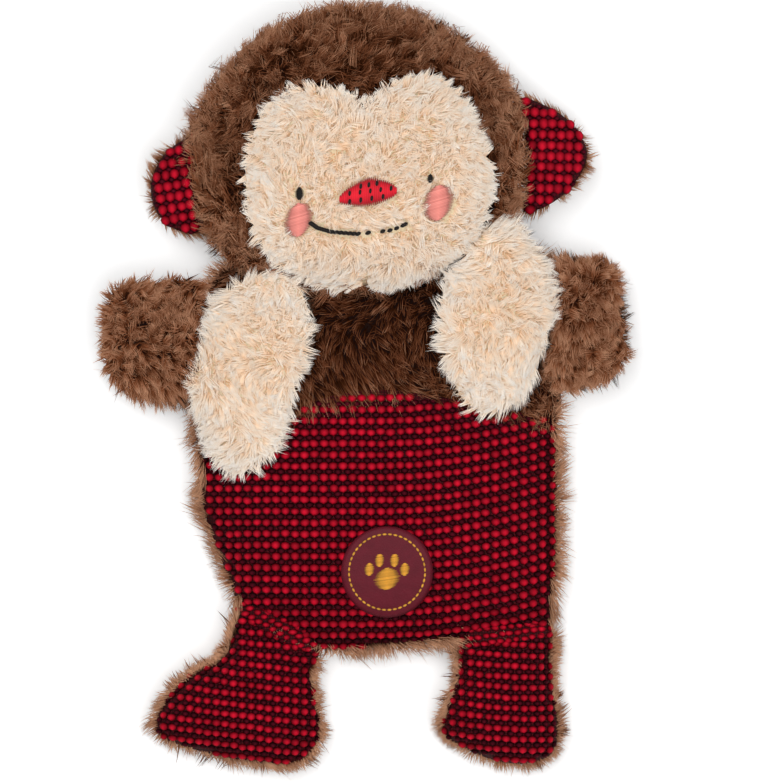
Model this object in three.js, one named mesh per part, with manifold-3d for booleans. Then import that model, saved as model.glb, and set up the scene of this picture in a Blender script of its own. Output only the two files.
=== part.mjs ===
// Plush monkey dog toy, lying on its back. Millimetres, +Z up out of the belly, +Y towards
// the head. The origin lies under the middle of the whole toy, on the floor.
import * as THREE from 'three';
import { mergeVertices } from 'three/addons/utils/BufferGeometryUtils.js';
import Module from 'manifold-3d';

const wasm = await Module();
wasm.setup();

// Clearances and cuts
const gap = 0.3; // air between neighbouring pieces
const flat = 0.5; // depth of the flats that the toy lies on
const reach = 500; // overrun of every cutting solid

// Thickness of the skins
const furSkin = 4;
const weaveSkin = 2.6;

// Body
const bodyWidth = 153;
const bodyLength = 165.5;
const bodySeam = 10; // height of the side seam above the floor
const bodyCrown = 20; // swell of the front above the seam
const bellyArch = 33; // how far the bend of the belly panel's top edge lies above its ends
const bodyShares = [
  [-0.27, -0.44], [-0.17, -0.5], [0.03, -0.49], [0.23, -0.48], [0.35, -0.46], [0.47, -0.45],
  [0.48, -0.37], [0.49, -0.25], [0.49, 0.01], [0.5, 0.26], [0.49, 0.46], [0.45, 0.5],
  [0.34, 0.5], [0.12, 0.48], [-0.16, 0.48], [-0.38, 0.48], [-0.46, 0.44], [-0.49, 0.35],
  [-0.5, 0.19], [-0.5, 0.01], [-0.48, -0.16], [-0.43, -0.27], [-0.37, -0.39],
];
const bellyEdgeShares = [0.03, 0.07]; // heights of the belly panel's top edge, left and right
const hipShares = [
  [[-0.37, -0.39], [-0.17, -0.5]],
  [[0.23, -0.485], [0.47, -0.445]],
];

// Head
const headWidth = 140.7;
const headLength = 119.3;
const headSeam = 20;
const headCrown = 30;
const headOffset = -8; // head's middle from the body's, to the left
const chinLap = 15; // how far the chin lies over the chest
const neckLift = 12; // height of the neck crease above the floor
const neckBack = 40; // degrees that the back of the head leans away from the crease
const neckFront = -88; // degrees the same in front, where the chin hangs over the crease
const headShares = [
  [0.02, 0.5], [-0.14, 0.47], [-0.29, 0.39], [-0.41, 0.25], [-0.49, 0.11], [-0.5, -0.02],
  [-0.48, -0.2], [-0.41, -0.37], [-0.29, -0.44], [-0.16, -0.49], [-0.05, -0.5], [0.07, -0.49],
  [0.2, -0.46], [0.31, -0.41], [0.4, -0.32], [0.48, -0.2], [0.5, -0.04], [0.48, 0.16],
  [0.4, 0.3], [0.27, 0.4], [0.15, 0.47],
];

// Face
const faceWidth = 109.2;
const faceLength = 94.5;
const faceTop = 58; // height of the nose bridge above the floor
const faceDrop = 2; // how far the chin reaches below the head's edge
const faceRim = 1; // rise of the panel's rim over the hood
const faceShares = [
  [-0.02, 0.38], [-0.1, 0.44], [-0.2, 0.46], [-0.32, 0.44], [-0.42, 0.33], [-0.48, 0.18],
  [-0.5, 0.01], [-0.48, -0.15], [-0.42, -0.29], [-0.32, -0.41], [-0.2, -0.47], [-0.09, -0.5],
  [0, -0.485], [0.08, -0.49], [0.2, -0.45], [0.31, -0.38], [0.41, -0.28], [0.48, -0.15],
  [0.5, 0], [0.48, 0.13], [0.45, 0.26], [0.38, 0.4], [0.28, 0.49], [0.17, 0.5], [0.07, 0.45],
];
const faceXShare = 0.03; // middle of the face from the head's, in head widths

// Embroidery: places are shares of the face's width and length from its middle
const stitchHeight = 1.2;
const eyeWidth = 4;
const eyeLength = 5.2;
const eyeSpotShares = [[-0.239, 0.154], [0.258, 0.228]];
const cheekWidth = 11.5;
const cheekLength = 14;
const cheekSpotShares = [[-0.242, 0.02], [0.292, 0.108]];
const noseWidth = 24.4;
const noseLength = 12.2;
const noseHeight = 2.2;
const noseSpotShare = [0.01, 0.146];
const noseShares = [
  [-0.31, -0.43], [-0.03, -0.5], [0.31, -0.26], [0.5, 0.16], [0.29, 0.4], [0.03, 0.5],
  [-0.28, 0.22], [-0.5, -0.19],
];
const mouthInset = 9; // how far the mouth stops short of the right cheek
const mouthSag = 4.4;
const mouthThread = 1.3;

// Ears
const earHalf = 4.6; // half thickness of an ear
const earSwing = 50; // degrees each way
const earLeftWidth = 27;
const earLeftLength = 45;
const earLeftLap = 10; // how far the leaf runs on under the side of the head
const earRightWidth = 32;
const earRightLength = 48.7;
const earRightLap = 7;
const ears = [
  {
    name: 'left', side: -1, width: earLeftWidth, length: earLeftLength, lap: earLeftLap,
    riseShare: -0.105,
    outlineShares: [
      [0.5, 0.5], [0.02, 0.39], [-0.31, 0.22], [-0.5, -0.01], [-0.47, -0.25], [-0.25, -0.43],
      [0.03, -0.5], [0.5, -0.5], [0.5, -0.01],
    ],
  },
  {
    name: 'right', side: 1, width: earRightWidth, length: earRightLength, lap: earRightLap,
    riseShare: -0.02,
    outlineShares: [
      [-0.5, 0.03], [-0.5, -0.5], [-0.03, -0.46], [0.23, -0.33], [0.45, -0.14], [0.5, 0.05],
      [0.31, 0.28], [-0.01, 0.42], [-0.5, 0.5],
    ],
  },
];

// Arms: an upper sleeve on the floor, and a forearm folded back over it
const sleeveThickness = 13.5;
const sleeveFullness = 1.5; // swell that the flats between the two sleeves press down
const shoulderSwing = 40; // degrees back from the side of the body
const armLeftWidth = 48;
const armLeftLength = 53.3;
const armLeftLap = 7.5; // how far the sleeve runs on over the side of the body
const armRightWidth = 35.3;
const armRightLength = 56.7;
const armRightLap = 6;
const armRightDroop = 2.5; // how far the right upper sleeve shows below the forearm
const arms = [
  {
    name: 'left', side: -1, width: armLeftWidth, length: armLeftLength, lap: armLeftLap,
    riseShare: 0.285, droop: 0,
    outlineShares: [
      [0.5, 0.48], [-0.03, 0.5], [-0.38, 0.46], [-0.48, 0.31], [-0.5, 0.07], [-0.49, -0.18],
      [-0.43, -0.33], [-0.27, -0.44], [-0.03, -0.5], [0.21, -0.49], [0.5, -0.44], [0.5, 0],
    ],
  },
  {
    name: 'right', side: 1, width: armRightWidth, length: armRightLength, lap: armRightLap,
    riseShare: 0.331, droop: armRightDroop,
    outlineShares: [
      [-0.5, -0.06], [-0.5, -0.5], [-0.01, -0.48], [0.29, -0.45], [0.45, -0.37], [0.5, -0.2],
      [0.45, 0.09], [0.37, 0.4], [0.23, 0.5], [-0.07, 0.49], [-0.5, 0.45],
    ],
  },
];

// Paws: stuffed mitts that lie over the side of the chest
const pawCrown = 10.5;
const pawSink = 9;
const pawLeftWidth = 56;
const pawLeftLength = 90;
const pawLeftLap = 9; // how far the paw runs on over its sleeve
const pawLeftWrist = 22; // height of the paw's seam above the floor at the wrist
const pawRightWidth = 54;
const pawRightLength = 87;
const pawRightLap = 6;
const pawRightWrist = 23;
const pawInner = 37; // height of the paws' seams over the chest
const paws = [
  {
    name: 'left', width: pawLeftWidth, length: pawLeftLength, wristLap: pawLeftLap,
    outer: pawLeftWrist, riseShare: 0.208,
    outlineShares: [
      [-0.08, 0.45], [-0.29, 0.34], [-0.36, 0.21], [-0.42, 0.07], [-0.5, -0.07],
      [-0.46, -0.17], [-0.36, -0.31], [-0.26, -0.45], [-0.04, -0.5], [0.16, -0.43],
      [0.31, -0.27], [0.4, -0.09], [0.47, 0.07], [0.5, 0.24], [0.45, 0.4], [0.33, 0.48],
      [0.15, 0.5],
    ],
  },
  {
    name: 'right', width: pawRightWidth, length: pawRightLength, wristLap: pawRightLap,
    outer: pawRightWrist, riseShare: 0.341,
    outlineShares: [
      [-0.21, 0.41], [-0.33, 0.29], [-0.45, 0.17], [-0.5, 0.02], [-0.48, -0.15],
      [-0.4, -0.32], [-0.29, -0.44], [-0.07, -0.5], [0.16, -0.43], [0.35, -0.28],
      [0.46, -0.09], [0.5, 0.09], [0.45, 0.25], [0.3, 0.38], [0.14, 0.49], [-0.04, 0.5],
    ],
  },
];

// Legs
const legCrown = 13;
const hipFront = 31; // degrees cut from each side of the crease in front, for sitting
const hipBack = 9;
const legLeftWidth = 74.3;
const legLeftLength = 74;
const legLeftLap = 24.8; // how far the leg's outline runs on into the body
const legRightWidth = 48.3;
const legRightLength = 64.7;
const legRightLap = 15.6;
const legs = [
  {
    name: 'left', width: legLeftWidth, length: legLeftLength, lap: legLeftLap,
    xShare: -0.373,
    outlineShares: [
      [0.06, 0.5], [-0.02, 0.3], [-0.11, 0.11], [-0.29, 0.01], [-0.43, -0.14], [-0.5, -0.28],
      [-0.42, -0.37], [-0.15, -0.45], [0.13, -0.5], [0.33, -0.49], [0.44, -0.34],
      [0.42, -0.12], [0.41, 0.05], [0.5, 0.22], [0.27, 0.36],
    ],
  },
  {
    name: 'right', width: legRightWidth, length: legRightLength, lap: legRightLap,
    xShare: 0.343,
    outlineShares: [
      [0.03, 0.5], [-0.37, 0.46], [-0.39, 0.32], [-0.4, 0.06], [-0.5, -0.17], [-0.49, -0.32],
      [-0.18, -0.45], [0.15, -0.5], [0.41, -0.45], [0.49, -0.3], [0.47, -0.07], [0.42, 0.22],
      [0.5, 0.5],
    ],
  },
];

// Badge on the belly
const badgeRadius = 19.3;
const badgeHeight = 1.4;
const badgeSpotShare = [0.026, -0.305];
const ringRadius = 16;
const threadWidth = 1.1;
const threadHeight = 0.8;
const printPadWidth = 11.5;
const printPadLength = 9;
const printToeWidth = 4.2;
const printToeLength = 5.6;
const printSpread = 8.4; // distance of the toes from the pad's middle
const printToeTurns = [-62, -22, 22, 62]; // degrees from straight up

// Squeaker
const squeakerRadius = 22;
const squeakerHeight = 13;
const squeakerWall = 1.4;
const reedRadius = 5;
const reedHeight = 3.2;

// Fineness of the shapes, in counts
const ringShares = [0.96, 0.87, 0.72, 0.5, 0.25];
const roundSteps = 20;
const swellPower = 2.6;
const edgePower = 0.6;

// Colours
const brown = 0x6e4632;
const cream = 0xf0e0c8;
const red = 0xc8102c;
const black = 0x17110f;
const coral = 0xea7a70;
const maroon = 0x5a1c30;
const yellow = 0xd89a2c;
const stuffing = 0xf4f2ec;
const plastic = 0xdedbd2;

// Height of a stuffed form's swell, as a share, from its middle at 0 to its seam at 1
const swell = (share) => (1 - share ** swellPower) ** edgePower;

// A form is an outline about a middle, a seam height, and the swell in front and behind.
// grown gives the same form with its seam further out and its front and back higher.
function grown(form, rim, front = rim, back = rim) {
  return {
    ...form,
    width: form.width + 2 * rim,
    length: form.length + 2 * rim,
    front: form.front + front,
    back: form.back + back,
  };
}

function outline(form) {
  return form.outlineShares.map(([x, y]) => new THREE.Vector2(
    form.x + x * form.width,
    form.y + y * form.length,
  ));
}

// Height of the seam: level, or rising from one side of the form to the other
function seamHeight(form, x) {
  return form.seam + (form.rise ?? 0) * (x - form.x) / form.width;
}

function toSolid(positions, triangles) {
  return new wasm.Manifold(new wasm.Mesh({
    numProp: 3,
    vertProperties: new Float32Array(positions),
    triVerts: new Uint32Array(triangles),
  }));
}

function geometrySolid(geometry) {
  const bare = geometry.clone();
  bare.deleteAttribute('normal');
  bare.deleteAttribute('uv');
  const merged = mergeVertices(bare);
  return toSolid(merged.attributes.position.array, merged.index.array);
}

// Rings of points from the rim to the middle, closed by a fan. The last ring given is
// the point in the middle.
function ringFaces(rings, middle, upward) {
  const faces = [];
  const add = (a, b, c) => faces.push(...(upward ? [a, b, c] : [a, c, b]));
  rings.forEach((ring, k) => {
    ring.forEach((a, i) => {
      const next = (i + 1) % ring.length;
      if (k + 1 === rings.length) {
        add(a, ring[next], middle);
        return;
      }
      const inner = rings[k + 1];
      add(a, ring[next], inner[next]);
      add(a, inner[next], inner[i]);
    });
  });
  return faces;
}

// A stuffed form: it swells from its seam to its crown, in front and behind
function pillow(form) {
  const rim = outline(form);
  const positions = [];
  const addPoint = (x, y, z) => positions.push(x, y, z) / 3 - 1;
  const seamRing = rim.map((p) => addPoint(p.x, p.y, seamHeight(form, p.x)));
  const faces = [form.front, -form.back].flatMap((height) => {
    const rings = ringShares.map((share) => rim.map((p) => {
      const x = form.x + (p.x - form.x) * share;
      const y = form.y + (p.y - form.y) * share;
      return addPoint(x, y, seamHeight(form, x) + height * swell(share));
    }));
    const middle = addPoint(form.x, form.y, seamHeight(form, form.x) + height);
    return ringFaces([seamRing, ...rings], middle, height > 0);
  });
  return toSolid(positions, faces);
}

// Height of a form's front over a point, found on the line from its middle to its rim
function frontHeight(form, x, y) {
  const rim = outline(form);
  const point = new THREE.Vector2(x - form.x, y - form.y);
  const shares = rim.map((p, i) => {
    const a = new THREE.Vector2(p.x - form.x, p.y - form.y);
    const q = rim[(i + 1) % rim.length];
    const side = new THREE.Vector2(q.x - p.x, q.y - p.y);
    const across = point.cross(side);
    const along = a.cross(point) / across;
    const share = across / a.cross(side);
    return along >= 0 && along <= 1 && share > 0 ? -share : 0;
  });
  const share = Math.min(1, -Math.min(...shares));
  return form.seam + form.front * swell(share);
}

function prism(points, low, high) {
  const shape = new THREE.Shape(points);
  const geometry = new THREE.ExtrudeGeometry(shape, { depth: high - low, bevelEnabled: false });
  return geometrySolid(geometry.translate(0, 0, low));
}

function ellipsePoints(x, y, width, length, turn = 0) {
  const curve = new THREE.EllipseCurve(x, y, width / 2, length / 2, 0, 2 * Math.PI, false, turn);
  return curve.getPoints(roundSteps).slice(0, -1);
}

const above = (z) => geometrySolid(new THREE.BoxGeometry(reach, reach, reach)
  .translate(0, 0, z + reach / 2));
const below = (z) => geometrySolid(new THREE.BoxGeometry(reach, reach, reach)
  .translate(0, 0, z - reach / 2));

// All of the space on one side of a hinge. The space starts clear of the hinge's line and
// leans away from it by an angle in front and another behind, so that the two sides can
// fold. A hinge's heading is the direction of its moving side, in radians from +X.
function hingeSpace(hinge, side, clear, frontDegrees, backDegrees) {
  const lean = (degrees, up) => {
    const angle = THREE.MathUtils.degToRad(degrees);
    return new THREE.Vector2(
      side * (clear + reach * Math.sin(angle)),
      up * reach * Math.cos(angle),
    );
  };
  const points = [
    new THREE.Vector2(side * clear, 0),
    lean(frontDegrees, 1),
    new THREE.Vector2(side * 2 * reach, reach),
    new THREE.Vector2(side * 2 * reach, -reach),
    lean(backDegrees, -1),
  ];
  const geometry = new THREE.ExtrudeGeometry(
    new THREE.Shape(points),
    { depth: 2 * reach, bevelEnabled: false },
  );
  geometry.translate(0, 0, -reach).rotateX(Math.PI / 2).rotateZ(hinge.heading);
  return geometrySolid(geometry.translate(hinge.x, hinge.y, hinge.z));
}

// The toy's groups turn about their hinges, and each piece is a mesh of its group
const toy = new THREE.Group();

function joint(parent, hinge) {
  const group = new THREE.Group();
  group.position.set(hinge.x, hinge.y, hinge.z).sub(worldPlace(parent));
  parent.add(group);
  return group;
}

function worldPlace(group) {
  return group.getWorldPosition(new THREE.Vector3());
}

function add(group, name, solid, color, roughness = 0.95) {
  const { vertProperties, triVerts } = solid.getMesh();
  const geometry = new THREE.BufferGeometry();
  geometry.setAttribute('position', new THREE.BufferAttribute(vertProperties, 3));
  geometry.setIndex(new THREE.BufferAttribute(triVerts, 1));
  const place = worldPlace(group);
  geometry.translate(-place.x, -place.y, -place.z);
  geometry.computeVertexNormals();
  const material = new THREE.MeshStandardMaterial({ color, roughness, metalness: 0 });
  const mesh = new THREE.Mesh(geometry, material);
  mesh.name = name;
  group.add(mesh);
}

// Body
const body = {
  x: 0, y: 0, width: bodyWidth, length: bodyLength, seam: bodySeam,
  front: bodyCrown, back: bodySeam + flat, outlineShares: bodyShares,
};
const bodySpot = ([x, y]) => new THREE.Vector2(
  body.x + x * bodyWidth,
  body.y + y * bodyLength,
);
const bodyTop = body.y + bodyLength / 2;

const hips = hipShares.map((ends) => {
  const [a, b] = ends.map(bodySpot);
  return {
    x: (a.x + b.x) / 2,
    y: (a.y + b.y) / 2,
    z: bodySeam,
    heading: b.sub(a).angle() - Math.PI / 2,
  };
});

function bodyRoom(solid, clear) {
  return hips.reduce(
    (room, hip) => room.intersect(hingeSpace(hip, -1, clear, hipFront, hipBack)),
    solid,
  ).intersect(above(clear - gap / 2));
}

const bodySolid = bodyRoom(pillow(body), gap / 2);
const bodyFill = grown(body, -furSkin, -weaveSkin, -furSkin);
const bodyFillSolid = bodyRoom(pillow(grown(bodyFill, -gap)), furSkin + gap);
const bodySkin = bodySolid.subtract(bodyRoom(pillow(bodyFill), furSkin));
const bodyFront = bodySkin.intersect(above(bodySeam + gap / 2));

// The belly panel ends in an arch under the paws
function bellySpace(shift) {
  const [left, right] = bellyEdgeShares.map((share) => share * bodyLength + shift);
  const shape = new THREE.Shape();
  shape.moveTo(-reach, -reach).lineTo(reach, -reach).lineTo(reach, right);
  shape.lineTo(bodyWidth / 2, right);
  shape.quadraticCurveTo(0, Math.max(left, right) + bellyArch, -bodyWidth / 2, left);
  shape.lineTo(-reach, left);
  return prism(shape.getPoints(roundSteps / 2), -reach, reach);
}

add(toy, 'body_back', bodySkin.intersect(below(bodySeam - gap / 2)), brown);
add(toy, 'chest_front', bodyFront.subtract(bellySpace(gap / 2)), brown);
add(toy, 'belly_front', bodyFront.intersect(bellySpace(-gap / 2)), red);

// Squeaker, a hollow bellows with a reed plugged into its mouth, held between two layers
// of stuffing
const squeakerMiddle = bodySeam + (bodyCrown - bodySeam) / 2;

function domePoints(radius, height, mouth) {
  const turns = Array.from({ length: roundSteps / 2 + 1 }, (_, i) => (i * 2) / roundSteps);
  const low = Math.acos(mouth / radius);
  return turns.map((share) => {
    const angle = -Math.PI / 2 + share * (Math.PI / 2 + low);
    return new THREE.Vector2(radius * Math.cos(angle), (height / 2) * Math.sin(angle));
  });
}

function lathe(points) {
  const ends = points.map((p, i) => (
    i === 0 || i === points.length - 1 ? new THREE.Vector2(0, p.y) : p
  ));
  const turned = new THREE.LatheGeometry(ends, roundSteps).rotateX(Math.PI / 2);
  return geometrySolid(turned.translate(0, 0, squeakerMiddle));
}

const bladderOuter = domePoints(squeakerRadius, squeakerHeight, reedRadius + squeakerWall);
const bladderInner = domePoints(
  squeakerRadius - squeakerWall,
  squeakerHeight - 2 * squeakerWall,
  reedRadius,
);
const mouthTop = bladderOuter.at(-1).y;
add(toy, 'squeaker_bladder', lathe([
  ...bladderOuter,
  new THREE.Vector2(reedRadius, mouthTop),
  ...bladderInner.reverse(),
]), plastic, 0.4);
add(toy, 'squeaker_reed', lathe([
  new THREE.Vector2(0, mouthTop - reedHeight),
  new THREE.Vector2(reedRadius - gap, mouthTop - reedHeight),
  new THREE.Vector2(reedRadius - gap, mouthTop),
  new THREE.Vector2(0, mouthTop),
]), plastic, 0.4);

const squeakerPocket = geometrySolid(new THREE.SphereGeometry(1, roundSteps, roundSteps / 2)
  .rotateX(Math.PI / 2)
  .scale(squeakerRadius + 2 * gap, squeakerRadius + 2 * gap, squeakerHeight / 2 + 2 * gap)
  .translate(0, 0, squeakerMiddle));
const stuffingSolid = bodyFillSolid.subtract(squeakerPocket);
add(toy, 'body_fill_back', stuffingSolid.intersect(below(squeakerMiddle - gap / 2)), stuffing);
add(toy, 'body_fill_front', stuffingSolid.intersect(above(squeakerMiddle + gap / 2)), stuffing);

// Badge: each layer follows the belly under it
function onBelly(points, low, high) {
  const room = prism(points, bodySeam, reach);
  const shell = pillow(grown(body, high)).subtract(pillow(grown(body, low)));
  return shell.intersect(room);
}

const badge = bodySpot(badgeSpotShare);
const threadLow = gap + badgeHeight + gap;
const threadTop = threadLow + threadHeight;
const circle = (radius) => ellipsePoints(badge.x, badge.y, 2 * radius, 2 * radius);
add(toy, 'badge', onBelly(circle(badgeRadius), gap, gap + badgeHeight), maroon, 0.7);
add(toy, 'badge_stitch', onBelly(circle(ringRadius + threadWidth / 2), threadLow, threadTop)
  .subtract(prism(circle(ringRadius - threadWidth / 2), -reach, reach)), yellow, 0.6);

const printMiddle = badge.y - printToeLength / 2;
add(toy, 'badge_print_pad', onBelly(
  ellipsePoints(badge.x, printMiddle, printPadWidth, printPadLength),
  threadLow,
  threadTop,
), yellow, 0.6);
printToeTurns.forEach((degrees, i) => {
  const turn = THREE.MathUtils.degToRad(degrees);
  const x = badge.x + printSpread * Math.sin(turn);
  const y = printMiddle + printSpread * Math.cos(turn);
  const toe = ellipsePoints(x, y, printToeWidth, printToeLength, -turn / 2);
  add(toy, `badge_print_toe_${i + 1}`, onBelly(toe, threadLow, threadTop), yellow, 0.6);
});

// Head
const head = {
  x: body.x + headOffset, y: bodyTop + headLength / 2 - chinLap, width: headWidth,
  length: headLength, seam: headSeam, front: headCrown, back: headSeam + flat,
  outlineShares: headShares,
};
const neck = { x: head.x, y: bodyTop, z: neckLift, heading: Math.PI / 2 };
const headGroup = joint(toy, neck);

function headRoom(solid, clear) {
  return solid.intersect(hingeSpace(neck, 1, clear, neckFront, neckBack))
    .subtract(pillow(grown(body, clear)))
    .intersect(above(clear - gap / 2));
}

// The face swells up from its rim, which follows the hood under it
const face = {
  x: head.x + faceXShare * headWidth, y: head.y - headLength / 2 - faceDrop + faceLength / 2,
  width: faceWidth, length: faceLength, seam: headSeam, front: 0, back: 0,
  outlineShares: faceShares,
};

function faceSolid(grow) {
  const rim = outline(grown(face, grow));
  const hood = grown(head, grow);
  const positions = [];
  const addPoint = (x, y, z) => positions.push(x, y, z) / 3 - 1;
  const seamRing = rim.map((p) => addPoint(p.x, p.y, face.seam));
  const floorMiddle = addPoint(face.x, face.y, face.seam);
  const heights = rim.map((p) => frontHeight(hood, p.x, p.y) + faceRim);
  const rings = [1, ...ringShares].map((share) => rim.map((p, i) => addPoint(
    face.x + (p.x - face.x) * share,
    face.y + (p.y - face.y) * share,
    heights[i] + (faceTop + grow - heights[i]) * swell(share),
  )));
  const top = addPoint(face.x, face.y, faceTop + grow);
  return toSolid(positions, [
    ...ringFaces([seamRing, ...rings], top, true),
    ...ringFaces([seamRing], floorMiddle, false),
  ]);
}

const headSolid = headRoom(pillow(head), gap / 2);
const headFill = grown(head, -furSkin);
const headFillShell = headRoom(pillow(headFill), furSkin);
const headSkin = headSolid.subtract(headFillShell);
const aboveSeam = above(headSeam + gap / 2);
const hood = headSkin.subtract(faceSolid(gap)).intersect(aboveSeam);
const facePanel = headRoom(faceSolid(0), gap / 2).subtract(headFillShell).intersect(aboveSeam);
add(headGroup, 'head_back', headSkin.intersect(below(headSeam - gap / 2)), brown);
add(headGroup, 'head_hood', hood, brown);
add(headGroup, 'face_panel', facePanel, cream);
add(headGroup, 'head_fill', headRoom(pillow(grown(headFill, -gap)), furSkin + gap), stuffing);

// Embroidery on the face
const faceSpot = ([x, y]) => new THREE.Vector2(
  face.x + x * faceWidth,
  face.y + y * faceLength,
);

function onFace(points, height) {
  return faceSolid(gap + height).subtract(faceSolid(gap)).intersect(prism(points, headSeam, reach));
}

function stitchedOval(name, spot, width, length, color) {
  const points = ellipsePoints(spot.x, spot.y, width, length);
  add(headGroup, name, onFace(points, stitchHeight), color, 0.6);
}

const cheeks = cheekSpotShares.map(faceSpot);
['left', 'right'].forEach((name, i) => {
  stitchedOval(`eye_${name}`, faceSpot(eyeSpotShares[i]), eyeWidth, eyeLength, black);
  stitchedOval(`cheek_${name}`, cheeks[i], cheekWidth, cheekLength, coral);
});

const noseSpot = faceSpot(noseSpotShare);
const nose = { x: noseSpot.x, y: noseSpot.y, width: noseWidth, length: noseLength };
add(headGroup, 'nose', onFace(outline({ ...nose, outlineShares: noseShares }), noseHeight), red);

// The mouth runs from the left cheek towards the right one
const mouthStart = cheeks[0].x + cheekWidth / 2 + gap;
const mouthEnd = cheeks[1].x - cheekWidth / 2 - mouthInset;
const mouthBend = (mouthStart + mouthEnd) / 2;
const mouthLow = cheeks[0].y - 2 * mouthThread;
const mouth = new THREE.Shape();
mouth.moveTo(mouthStart, mouthLow);
mouth.quadraticCurveTo(mouthBend, mouthLow - 2 * mouthSag, mouthEnd, mouthLow);
mouth.lineTo(mouthEnd, mouthLow + mouthThread);
mouth.quadraticCurveTo(
  mouthBend,
  mouthLow + mouthThread - 2 * mouthSag,
  mouthStart,
  mouthLow + mouthThread,
);
add(headGroup, 'mouth', onFace(mouth.getPoints(roundSteps / 2), stitchHeight), black, 0.6);

// Ears: flat stuffed leaves that hinge on the widest line of the head's side
ears.forEach((ear) => {
  const edge = head.x + ear.side * headWidth / 2;
  const hinge = {
    x: edge, y: head.y + ear.riseShare * headLength, z: headSeam,
    heading: ear.side > 0 ? 0 : Math.PI,
  };
  const leaf = {
    ...ear, x: edge + ear.side * (ear.width / 2 - ear.lap), y: hinge.y, seam: headSeam,
    front: earHalf, back: earHalf,
  };
  const group = joint(headGroup, hinge);
  const solid = pillow(leaf)
    .intersect(hingeSpace(hinge, 1, gap, earSwing, earSwing))
    .subtract(pillow(grown(head, gap)));
  add(group, `ear_front_${ear.name}`, solid.intersect(above(headSeam + gap / 2)), red);
  add(group, `ear_back_${ear.name}`, solid.intersect(below(headSeam - gap / 2)), brown);
});

// Arms: the shoulder hinges on the body's side, the elbow on the sleeve's outer fold
arms.forEach((arm, i) => {
  const edge = body.x + arm.side * bodyWidth / 2;
  const heading = arm.side > 0 ? 0 : Math.PI;
  const sleeve = {
    ...arm, x: edge + arm.side * (arm.width / 2 - arm.lap),
    y: body.y + arm.riseShare * bodyLength, seam: sleeveThickness / 2,
    front: sleeveThickness / 2 + sleeveFullness, back: sleeveThickness / 2 + flat,
  };
  const shoulder = {
    x: edge + arm.side * gap, y: sleeve.y, z: sleeve.seam, heading,
  };
  const elbow = {
    x: sleeve.x + arm.side * arm.width / 2, y: sleeve.y, z: sleeveThickness + gap / 2, heading,
  };
  const upperGroup = joint(toy, shoulder);
  const foreGroup = joint(upperGroup, elbow);
  const lowered = { ...sleeve, y: sleeve.y - arm.droop };
  const upper = (clear) => pillow(grown(lowered, clear))
    .intersect(below(sleeveThickness + clear))
    .intersect(hingeSpace(shoulder, 1, gap - clear, 0, shoulderSwing + clear));
  add(upperGroup, `upper_arm_${arm.name}`, upper(0).subtract(pillow(grown(body, gap)))
    .intersect(above(0)), brown);

  const paw = paws[i];
  const wrist = edge - arm.side * (arm.lap - paw.wristLap);
  const mitt = {
    ...paw, x: wrist - arm.side * paw.width / 2, y: body.y + paw.riseShare * bodyLength,
    seam: (paw.outer + pawInner) / 2, rise: arm.side * (paw.outer - pawInner),
    front: pawCrown, back: pawSink,
  };
  const clearOfToy = (solid) => solid
    .subtract(pillow(grown(body, gap)))
    .subtract(pillow(grown(head, gap)))
    .subtract(faceSolid(gap))
    .intersect(above(sleeveThickness + gap));
  const fore = { ...sleeve, seam: sleeve.seam + sleeveThickness + gap, back: sleeve.front };
  add(foreGroup, `forearm_${arm.name}`, clearOfToy(pillow(fore))
    .subtract(pillow(grown(mitt, gap))), brown);
  add(foreGroup, `paw_${arm.name}`, clearOfToy(pillow(mitt)), cream);
});

// Legs: each folds forward and back at the slanting crease that sews it to the body
legs.forEach((leg, i) => {
  const hip = hips[i];
  const form = {
    ...leg, x: body.x + leg.xShare * bodyWidth,
    y: body.y - bodyLength / 2 - leg.length / 2 + leg.lap, seam: bodySeam,
    front: legCrown, back: bodySeam + flat,
  };
  const legRoom = (solid, clear) => solid
    .intersect(hingeSpace(hip, 1, clear, hipFront, hipBack))
    .intersect(above(clear - gap / 2));
  const fill = grown(form, -furSkin, -weaveSkin, -furSkin);
  const skin = legRoom(pillow(form), gap / 2).subtract(legRoom(pillow(fill), furSkin));
  const group = joint(toy, hip);
  add(group, `leg_front_${leg.name}`, skin.intersect(above(bodySeam + gap / 2)), red);
  add(group, `leg_back_${leg.name}`, skin.intersect(below(bodySeam - gap / 2)), brown);
  add(group, `leg_fill_${leg.name}`, legRoom(pillow(grown(fill, -gap)), furSkin + gap), stuffing);
});

// The origin goes under the middle of the whole toy
const bounds = new THREE.Box3().setFromObject(toy);
const middle = bounds.getCenter(new THREE.Vector3());
toy.position.set(-middle.x, -middle.y, -bounds.min.z);

export default toy;
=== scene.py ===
import math

import bpy
import numpy as np
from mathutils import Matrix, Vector


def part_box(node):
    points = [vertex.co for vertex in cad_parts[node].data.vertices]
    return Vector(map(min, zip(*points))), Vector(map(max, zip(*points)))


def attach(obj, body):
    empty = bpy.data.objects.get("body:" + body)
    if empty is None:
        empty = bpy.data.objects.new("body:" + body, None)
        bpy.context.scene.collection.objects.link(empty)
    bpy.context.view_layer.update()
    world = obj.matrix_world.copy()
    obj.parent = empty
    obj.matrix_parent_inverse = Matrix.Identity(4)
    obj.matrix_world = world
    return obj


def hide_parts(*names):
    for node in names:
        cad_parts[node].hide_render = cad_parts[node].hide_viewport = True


bl_info = {
    "name": "Plush Monkey Dog Toy",
    "version": (1, 0, 0),
    "blender": (4, 5, 0),
    "location": "View3D > Sidebar > Plush Toy",
    "description": "Dresses the frame of a stuffed dog toy in fur, fleece and nub cloth",
    "category": "Object",
}

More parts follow.
